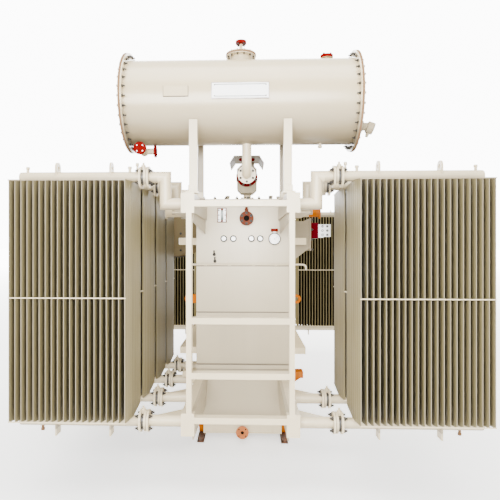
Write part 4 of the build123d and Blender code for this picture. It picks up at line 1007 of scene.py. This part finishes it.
class TRANSFORMER_OT_tank(bpy.types.Operator):
    """Cover bolts, cover gasket, beam ends, and the bolts and plates of the side boxes"""

    bl_idname = "transformer.tank"
    bl_label = "Tank and side boxes"

    def execute(self, context):
        sizes = context.scene.transformer_fasteners
        nut, small = bolt(sizes.middle, 1.0), bolt(sizes.small + 0.001, 0.4)
        wide, long = COVER_HIGH.x - COVER_LOW.x, COVER_HIGH.y - COVER_LOW.y
        rim_inset, rim_thickness = 0.05, 0.016
        top = rim_of((AXIS_X, 0, COVER_HIGH.z), wide - rim_inset, long - rim_inset, sizes.cover_pitch, 2)
        under = top - np.array((0, 0, COVER_HIGH.z - COVER_LOW.z + rim_thickness))
        turret_low, turret_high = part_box("lv_turret")
        turret = (turret_high.x, (turret_low.y + turret_high.y) / 2, TURRET_LEVEL)
        low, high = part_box("cable_box")
        box_y, box_z = (low.y + high.y) / 2, (low.z + high.z) / 2
        door_long, door_tall, door_thick, door_edge = 1.26, 0.42, 0.006, 0.04
        face = (low.x - door_thick, box_y, box_z)
        door = rim_of(face, door_long - door_edge, door_tall - door_edge, 0.12, 0)
        gland_low, gland_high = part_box("gland_plate")
        gland = ((gland_low.x + gland_high.x) / 2, (gland_low.y + gland_high.y) / 2, gland_low.z)
        span = (gland_high.x - gland_low.x - 0.03, gland_high.y - gland_low.y - 0.03)
        bolts = [
            placed(nut, top),
            placed(nut, under, DOWN),
            placed(nut, rim_of(turret, 1.528, 0.298, 0.11, 0), RIGHT),
            placed(small, door, LEFT),
            placed(small, rim_of(gland, *span, 0.12, 2), DOWN),
        ]
        make_piece("flange_bolts", joined(bolts), "zinc_bolts")
        strip = square_ring(wide, long, ((-0.02, -0.002), (0.003, -0.002), (0.003, 0.002), (-0.02, 0.002)))
        make_piece("cover_gasket", placed(strip, (AXIS_X, 0, COVER_LOW.z)), "gasket")
        cover = plate(door_long, door_tall, -0.002, door_thick, 0.002)
        cover = placed(cover, (low.x, box_y, box_z), LEFT)
        make_piece("cable_box_cover", cover, "shaded_paint")
        bare = placed(plate(0.092, 0.08, -0.001, 0.004, 0.001), (AXIS_X - 0.756, low.y, 1.961), FRONT)
        make_piece("bare_plates", bare, "white_gloss")
        self.palm_hole_shade()
        knob = turned([(0.008, 0), (0.008, 0.012), (0.014, 0.014), (0.014, 0.02), (0.009, 0.023)], 10)
        knobs = placed(knob, [(AXIS_X - 0.778, low.y, level) for level in (2.056, 1.85)], FRONT)
        make_piece("cable_box_knob", knobs, "bezel_grey")
        self.beam_ends()
        base = turned([(0.024, 0), (0.024, 0.012), (0.016, 0.014), (0.016, 0.03)], 16)
        plug = joined([base, turned([(0.021, 0.03), (0.021, 0.046), (0.016, 0.05)], 6)])
        places = ((-0.15, -1.42), (0.28, -1.42), (0.36, -1.35))
        spots = [(AXIS_X + x, y, COVER_HIGH.z) for x, y in places]
        make_piece("cover_plugs", placed(plug, spots), "relay_paint")
        return {"FINISHED"}

    def beam_ends(self):
        """Closing plates on the ends of the base beams."""
        low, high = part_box("base_beams")
        end_plate = plate(0.079, high.z - low.z - 0.002, 0.0, 0.006, 0.001)
        for label, way, edge in (("front", FRONT, low.y), ("rear", REAR, high.y)):
            ends = [(AXIS_X + x, edge, (low.z + high.z) / 2) for x in (-BEAM_SIDE, BEAM_SIDE)]
            make_piece(f"beam_ends_{label}", placed(end_plate, ends, way), "cream_paint")

    def palm_hole_shade(self):
        """Dark ring of painted shadow round each bolt hole of the bus palms, on both faces of every bar."""
        rim = ring(0.0071, 0.0125, -0.001, 0.0006, 16)
        across, up, thick = 0.025, 0.044, 0.012
        rims = []
        for mount in frame["record"]["mounts"]:
            if mount["name"].endswith("_palm_middle"):
                x, y, z = mount["pos_m"]
                for face, way in ((y, FRONT), (y + thick, REAR)):
                    spots = [(x + i * across, face, z + k * up) for i in (-1, 1) for k in (-1, 0, 1)]
                    rims.append(placed(rim, spots, way))
        make_piece("palm_hole_rims", joined(rims), "dark_bore")


class TRANSFORMER_OT_relay(bpy.types.Operator):
    """Bolts, windows, terminal box and handwheel of the gas relay line"""

    bl_idname = "transformer.relay"
    bl_label = "Gas relay line"

    def execute(self, context):
        nut = bolt(context.scene.transformer_fasteners.small, 0.6)
        low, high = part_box("gas_relay")
        valve_low, valve_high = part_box("relay_valve")
        x, y, level = (low.x + high.x) / 2, (low.y + high.y) / 2, (valve_low.z + valve_high.z) / 2
        flange = 0.016
        pad = (x, FRONT_Y + 0.08, COVER_HIGH.z + 0.014)
        bolts = [
            placed(nut, circle_of((x, valve_low.y - flange, level), 0.060, 6, 1), FRONT),
            placed(nut, circle_of((x, high.y + flange, level), 0.060, 8, 1), REAR),
            placed(nut, circle_of((x, valve_high.y - flange, level), 0.075, 8, 1), FRONT),
            placed(nut, circle_of(pad, 0.055, 8, 2)),
        ]
        make_piece("relay_bolts", joined(bolts), "zinc_bolts")
        sides = ([(low.x, y, level), (high.x, y, level)], [LEFT, RIGHT])
        window = placed(plate(0.09, 0.06, -0.001, 0.006, 0.002), *sides)
        make_piece("relay_window_rims", window, "bezel_grey")
        pane = placed(plate(0.07, 0.042, 0.005, 0.008, 0.001), *sides)
        make_piece("relay_panes", pane, "gauge_glass")
        box = joined([plate(0.09, 0.07, 0.0, 0.04, 0.004), plate(0.10, 0.08, 0.04, 0.05, 0.003)])
        lever = placed(cylinder(0.005, -0.022, 0.022, 8), (0, 0, 0.04), REAR)
        cock = joined([turned([(0.01, 0), (0.01, 0.045), (0.007, 0.05)], 10), lever])
        top = [placed(box, (x, y, high.z)), placed(cock, (x + 0.055, y + 0.05, high.z))]
        make_piece("relay_terminal_box", joined(top), "relay_paint")
        spokes = placed(cylinder(0.005, -0.055, 0.055, 8), [(0, 0, 0), (0, 0, 0)], [RIGHT, REAR])
        hub, stem = cylinder(0.014, -0.01, 0.01, 12), cylinder(0.010, -0.09, -0.008, 12)
        wheel_y = (valve_low.y + valve_high.y) / 2
        wheel = placed(joined([torus(0.058, 0.008, 40, 8), spokes, hub, stem]), (x, wheel_y, WHEEL_LEVEL))
        make_piece("relay_handwheel", wheel, "lit_red")
        return {"FINISHED"}


class TRANSFORMER_OT_gauges(bpy.types.Operator):
    """Dial, bezels, oil gauge, sight glass, sampling taps and the valves' bolts and mouths"""

    bl_idname = "transformer.gauges"
    bl_label = "Gauges and end wall"

    def execute(self, context):
        sockets, place = new_material("gauge_glass")
        smear = place.noise(60.0, 3.0)
        connect(sockets, "Base Color", smear.mix((0.025, 0.05, 0.035, 1.0), (0.07, 0.11, 0.08, 1.0)))
        connect(sockets, "Roughness", 0.05 + 0.1 * smear)
        dial = self.dial()
        self.oil_gauge()
        self.bezels(dial)
        screws = self.sight_gauge()
        self.valves(context.scene.transformer_fasteners.middle, screws)
        stub = turned([(0.006, 0), (0.006, 0.03), (0.009, 0.032), (0.009, 0.04)], 10)
        stem = turned([(0.016, 0), (0.016, 0.008), (0.009, 0.01), (0.009, 0.05), (0.006, 0.052)], 12)
        tap = joined([stem, placed(stub, (0, 0, 0.036), REAR)])
        taps = [(AXIS_X - 0.275, FRONT_Y, 1.817), (AXIS_X - 0.268, FRONT_Y, 1.752)]
        make_piece("sampling_taps", placed(tap, taps, FRONT), "zinc_bolts")
        return {"FINISHED"}

    def dial(self):
        """Face of the dial thermometer. Returns its middle."""
        low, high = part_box("dial_thermometer")
        middle = ((low.x + high.x) / 2, low.y, DIAL_LEVEL)
        self.dial_material(middle)
        face = turned([(0.050, 0), (0.050, 0.001), (0.0495, 0.0015)], 48)
        make_piece("dial_face", placed(face, middle, FRONT), "dial_print")
        return middle

    def bezels(self, dial):
        """Bezels of the dial thermometer and of the thermometer pockets."""
        large = [(0.0495, 0), (0.0585, 0), (0.0585, 0.006), (0.054, 0.009), (0.0495, 0.006)]
        small = [(0.0215, 0), (0.0325, 0), (0.0325, 0.005), (0.0270, 0.007), (0.0215, 0.004)]
        pocket_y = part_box("thermometer_pockets")[0].y
        pockets = [(AXIS_X + x, pocket_y, POCKET_LEVEL) for x in POCKET_SIDES]
        bezels = [
            placed(turned(large, 48, loop=True), dial, FRONT),
            placed(turned(small, 32, loop=True), pockets, FRONT),
        ]
        make_piece("gauge_bezels", joined(bezels), "bezel_grey")

    def sight_gauge(self):
        """Rim, glass and end caps of the sight gauge. Returns the places of its screws."""
        low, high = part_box("sight_gauge")
        sight = ((low.x + high.x) / 2, low.y, (low.z + high.z) / 2)
        wide, tall = high.x - low.x, high.z - low.z
        rows = ((0.004, -0.03), (0.004, 0.003), (-0.010, 0.003), (-0.010, -0.03))
        rim = placed(square_ring(wide, tall, rows), sight, FRONT)
        make_piece("sight_rim", rim, "lit_primer")
        glass = placed(plate(0.024, tall - 0.042, -0.013, -0.006, 0.002), sight, FRONT)
        make_piece("sight_glass", glass, "gauge_glass")
        cap = turned([(0.011, 0), (0.011, 0.007), (0.007, 0.01)], 10)
        ends = [(sight[0], sight[1], sight[2] + way * (tall / 2 - 0.012)) for way in (-1, 1)]
        make_piece("sight_end_caps", placed(cap, ends, FRONT), "lit_primer")
        return rim_of(sight, wide - 0.024, tall - 0.04, 0.05, 1)

    def valves(self, thread, screws):
        """Painted shade in the mouths and bolt holes of the filter and drain valve, a handle and bolts, with
        the sight gauge's screws.
        """
        low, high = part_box("filter_valve")
        filter_face = ((low.x + high.x) / 2, low.y, FILTER_LEVEL)
        fasteners = [
            placed(bolt(0.003, 0.0), screws, FRONT),
            placed(bolt(thread * 0.85, 0.3), circle_of(filter_face, 0.051, 6, 1), FRONT),
        ]
        make_piece("gauge_bolts", joined(fasteners), "zinc_bolts")
        drain_low, drain_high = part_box("drain_valve")
        drain_face = (AXIS_X, drain_low.y, (drain_low.z + drain_high.z) / 2)
        # Dark discs and a ring: painted shade in the valve mouths and the drain flange's bolt holes
        mouths = [
            placed(cylinder(0.0175, -0.006, -0.004, 24), filter_face, FRONT),
            placed(cylinder(0.0155, -0.006, -0.004, 24), drain_face, FRONT),
            placed(cylinder(0.0067, -0.006, -0.001, 12), circle_of(drain_face, 0.045, 4, 1), FRONT),
            placed(ring(0.0172, 0.027, -0.004, 0.001, 24), filter_face, FRONT),
        ]
        make_piece("valve_mouths", joined(mouths), "dark_bore")
        stem = turned([(0.012, 0), (0.012, 0.02), (0.008, 0.024)], 10)
        handle = joined([stem, plate(0.014, 0.06, 0.02, 0.03, 0.002)])
        spot = (filter_face[0], FRONT_Y - 0.051, high.z)
        make_piece("filter_handle", placed(handle, spot), "lit_primer")

    def oil_gauge(self):
        """Oil gauge of the conservator, its head leaning down to be read from the ground.

        The seat is turned about +X, the head and its rim about an axis 20 degrees below that, and the
        gland about the line square to the axis.
        """
        low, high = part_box("oil_level_gauge")
        middle = np.array((low.x, (low.y + high.y) / 2, (low.z + high.z) / 2))
        lean = np.radians(20)
        axis = np.array((np.cos(lean), 0, -np.sin(lean)))
        down = np.array((-np.sin(lean), 0, -np.cos(lean)))
        root = middle + np.array((0.062, 0, 0))
        seat = turned([(0.058, 0), (0.058, 0.012), (0.055, 0.014), (0.03, 0.014), (0.03, 0.07)], 32)
        head = turned([(0.028, -0.002), (0.042, 0.004), (0.046, 0.008), (0.046, 0.050), (0.043, 0.053)], 40)
        gland = turned([(0.014, 0.036), (0.014, 0.060), (0.011, 0.062), (0.011, 0.074)], 12)
        shapes = [
            placed(seat, middle, RIGHT),
            placed(head, root, axis),
            placed(gland, root + 0.026 * axis, down),
        ]
        piece = make_piece("oil_gauge_head", joined(shapes), "turret_paint")
        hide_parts("oil_level_gauge")
        rim = placed(ring(0.040, 0.045, 0.052, 0.056, 40), root, axis)
        make_piece("oil_gauge_rim", rim, "bezel_grey")
        bolts = placed(bolt(0.004, 0.2), circle_of(middle + (0.014, 0, 0), 0.047, 6, 0), RIGHT)
        make_piece("oil_gauge_bolts", bolts, "zinc_bolts")

    def dial_material(self, middle):
        """White dial with scale marks round it and a pointer, from the angle and reach about its middle."""
        sockets, place = new_material("dial_print")
        x = place.axis(0) - middle[0]
        z = place.axis(2) - middle[2]
        reach = x.math("SQRT", x * x + z * z)
        angle = x.math("ARCTAN2", x, z)
        step = angle.math("FRACT", angle * (40 / TURN) + 0.5)
        marks = (abs(step - 0.5) < 0.14) * (reach > 0.036) * (reach < 0.044) * (abs(angle) < 2.36)
        lean = x * 0.72 + z * 0.69
        aside = x * 0.69 - z * 0.72
        pointer = (abs(aside) < 0.0013) * (lean > -0.010) * (lean < 0.036)
        hub = reach < 0.005
        ink = marks | hub | pointer
        connect(sockets, "Base Color", ink.mix((0.90, 0.90, 0.89, 1.0), (0.02, 0.02, 0.022, 1.0)))
        connect(sockets, "Roughness", 0.22)
        connect(sockets, "Coat Weight", 0.6)


class TRANSFORMER_OT_studio(bpy.types.Operator):
    """Pale floor, soft light and the camera"""

    bl_idname = "transformer.studio"
    bl_label = "Studio"

    def execute(self, context):
        settings = context.scene.transformer_studio
        self.floor(settings)
        self.world(context.scene)
        self.lights()
        data = bpy.data.cameras.new("studio_camera")
        data.lens, data.sensor_width = settings.lens, 36.0
        data.shift_x, data.shift_y = settings.shift_x, settings.shift_y
        spot = (AXIS_X + settings.camera_side, settings.camera_reach, settings.camera_height)
        context.scene.camera = self.put(data, spot, (np.pi / 2, 0, settings.camera_turn))
        return {"FINISHED"}

    def put(self, data, spot=(0, 0, 0), turn=(0, 0, 0)):
        """Link an object with its data's name into the scene."""
        thing = bpy.data.objects.new(data.name, data)
        thing.location, thing.rotation_euler = spot, turn
        bpy.context.scene.collection.objects.link(thing)
        return thing

    def floor(self, settings):
        """Floor that glows more the farther it lies behind, so that it ends in white."""
        mesh = bpy.data.meshes.new("studio_floor")
        side = 2 * settings.floor_reach
        corners = np.column_stack((rectangle(side, side), np.zeros(4)))
        mesh.from_pydata(corners.tolist(), [], [(0, 1, 2, 3)])
        sockets, place = new_material("studio_floor")
        cloud = place.noise(0.4)
        connect(sockets, "Base Color", cloud.mix(tinted(settings.floor, 0.98), tinted(settings.floor, 1.02)))
        connect(sockets, "Roughness", 0.9)
        distance = place.axis(1).ramp(-6.0, 40.0)
        connect(sockets, "Emission Color", distance.mix((0.0, 0.0, 0.0, 1.0), (1.0, 1.0, 1.0, 1.0)))
        connect(sockets, "Emission Strength", settings.far_glow)
        mesh.materials.append(bpy.data.materials["studio_floor"])
        self.put(mesh)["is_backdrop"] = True

    def world(self, scene):
        """Soft light all round, brighter above and behind the transformer."""
        world = bpy.data.worlds.new("studio_world")
        world.use_nodes = True
        tree = world.node_tree
        way = Shade(tree, tree.nodes.new("ShaderNodeTexCoord").outputs["Generated"])
        glow = way.axis(1).ramp(0.68, 0.80)
        above = way.axis(2).ramp(0.35, 0.95)
        sockets = tree.nodes["Background"].inputs
        connect(sockets, "Color", glow.mix((1.0, 0.985, 0.95, 1.0), (1.0, 1.0, 1.0, 1.0)))
        connect(sockets, "Strength", 1.7 + 10.0 * glow + 1.6 * above)
        scene.world = world

    def lights(self):
        """Area lights, each with its place, aim, size and power, and a spot on the end wall."""
        for name, spot, aim, size, power in (
            ("front_light", (-0.4, -7.4, 2.9), (0, -1.5, 1.7), (3.6, 2.2), 850.0),
            ("top_light", (0.0, -4.2, 7.5), (0, -1.5, 1.8), (5.0, 4.0), 640.0),
            ("right_light", (8.0, -4.0, 4.0), (0, -1.0, 1.6), (4.0, 4.0), 110.0),
            ("back_light", (2.0, 9.5, 5.0), (0, 1.0, 1.6), (6.0, 4.0), 120.0),
            ("left_light", (-8.0, -4.0, 4.0), (0, -1.0, 1.6), (4.0, 4.0), 110.0),
        ):
            lamp = bpy.data.lights.new(name, "AREA")
            lamp.shape = "RECTANGLE"
            lamp.size, lamp.size_y = size
            lamp.energy = power
            self.put(lamp, spot, (Vector(aim) - Vector(spot)).to_track_quat("-Z", "Y").to_euler())
        lamp = bpy.data.lights.new("wall_light", "SPOT")
        lamp.energy, lamp.spot_size, lamp.spot_blend, lamp.shadow_soft_size = 900.0, 0.30, 1.0, 0.4
        self.put(lamp, (AXIS_X, -7.2, 2.15), (np.pi / 2, 0, 0))


OPERATORS = (
    TRANSFORMER_OT_paint,
    TRANSFORMER_OT_radiators,
    TRANSFORMER_OT_valves,
    TRANSFORMER_OT_conservator,
    TRANSFORMER_OT_tank,
    TRANSFORMER_OT_gauges,
    TRANSFORMER_OT_relay,
    TRANSFORMER_OT_studio,
)
GROUPS = {
    "transformer_radiators": RadiatorSizes,
    "transformer_fasteners": FastenerSizes,
    "transformer_colours": PaintColours,
    "transformer_studio": StudioSettings,
}


class TRANSFORMER_PT_sidebar(bpy.types.Panel):
    """Lists the steps that dress the transformer"""

    bl_idname = "TRANSFORMER_PT_sidebar"
    bl_label = "Transformer"
    bl_space_type = "VIEW_3D"
    bl_region_type = "UI"
    bl_category = "Transformer"

    def draw(self, context):
        for operator in OPERATORS:
            self.layout.operator(operator.bl_idname)


def register():
    for name, group in GROUPS.items():
        bpy.utils.register_class(group)
        setattr(bpy.types.Scene, name, bpy.props.PointerProperty(type=group))
    for operator in OPERATORS:
        bpy.utils.register_class(operator)
    bpy.utils.register_class(TRANSFORMER_PT_sidebar)


def unregister():
    bpy.utils.unregister_class(TRANSFORMER_PT_sidebar)
    for operator in reversed(OPERATORS):
        bpy.utils.unregister_class(operator)
    for name, group in GROUPS.items():
        delattr(bpy.types.Scene, name)
        bpy.utils.unregister_class(group)


def main():
    """Dress the transformer, set the studio and measure both boxes."""
    register()
    bpy.ops.transformer.paint()
    bpy.ops.transformer.radiators()
    bpy.ops.transformer.valves()
    bpy.ops.transformer.conservator()
    bpy.ops.transformer.tank()
    bpy.ops.transformer.gauges()
    bpy.ops.transformer.relay()
    bpy.ops.transformer.studio()
    boxes = {"cad": CAD_BOX, "visual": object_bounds()}
    plain = {name: [list(corner) for corner in box] for name, box in boxes.items()}


if __name__ == "__main__":
    main()
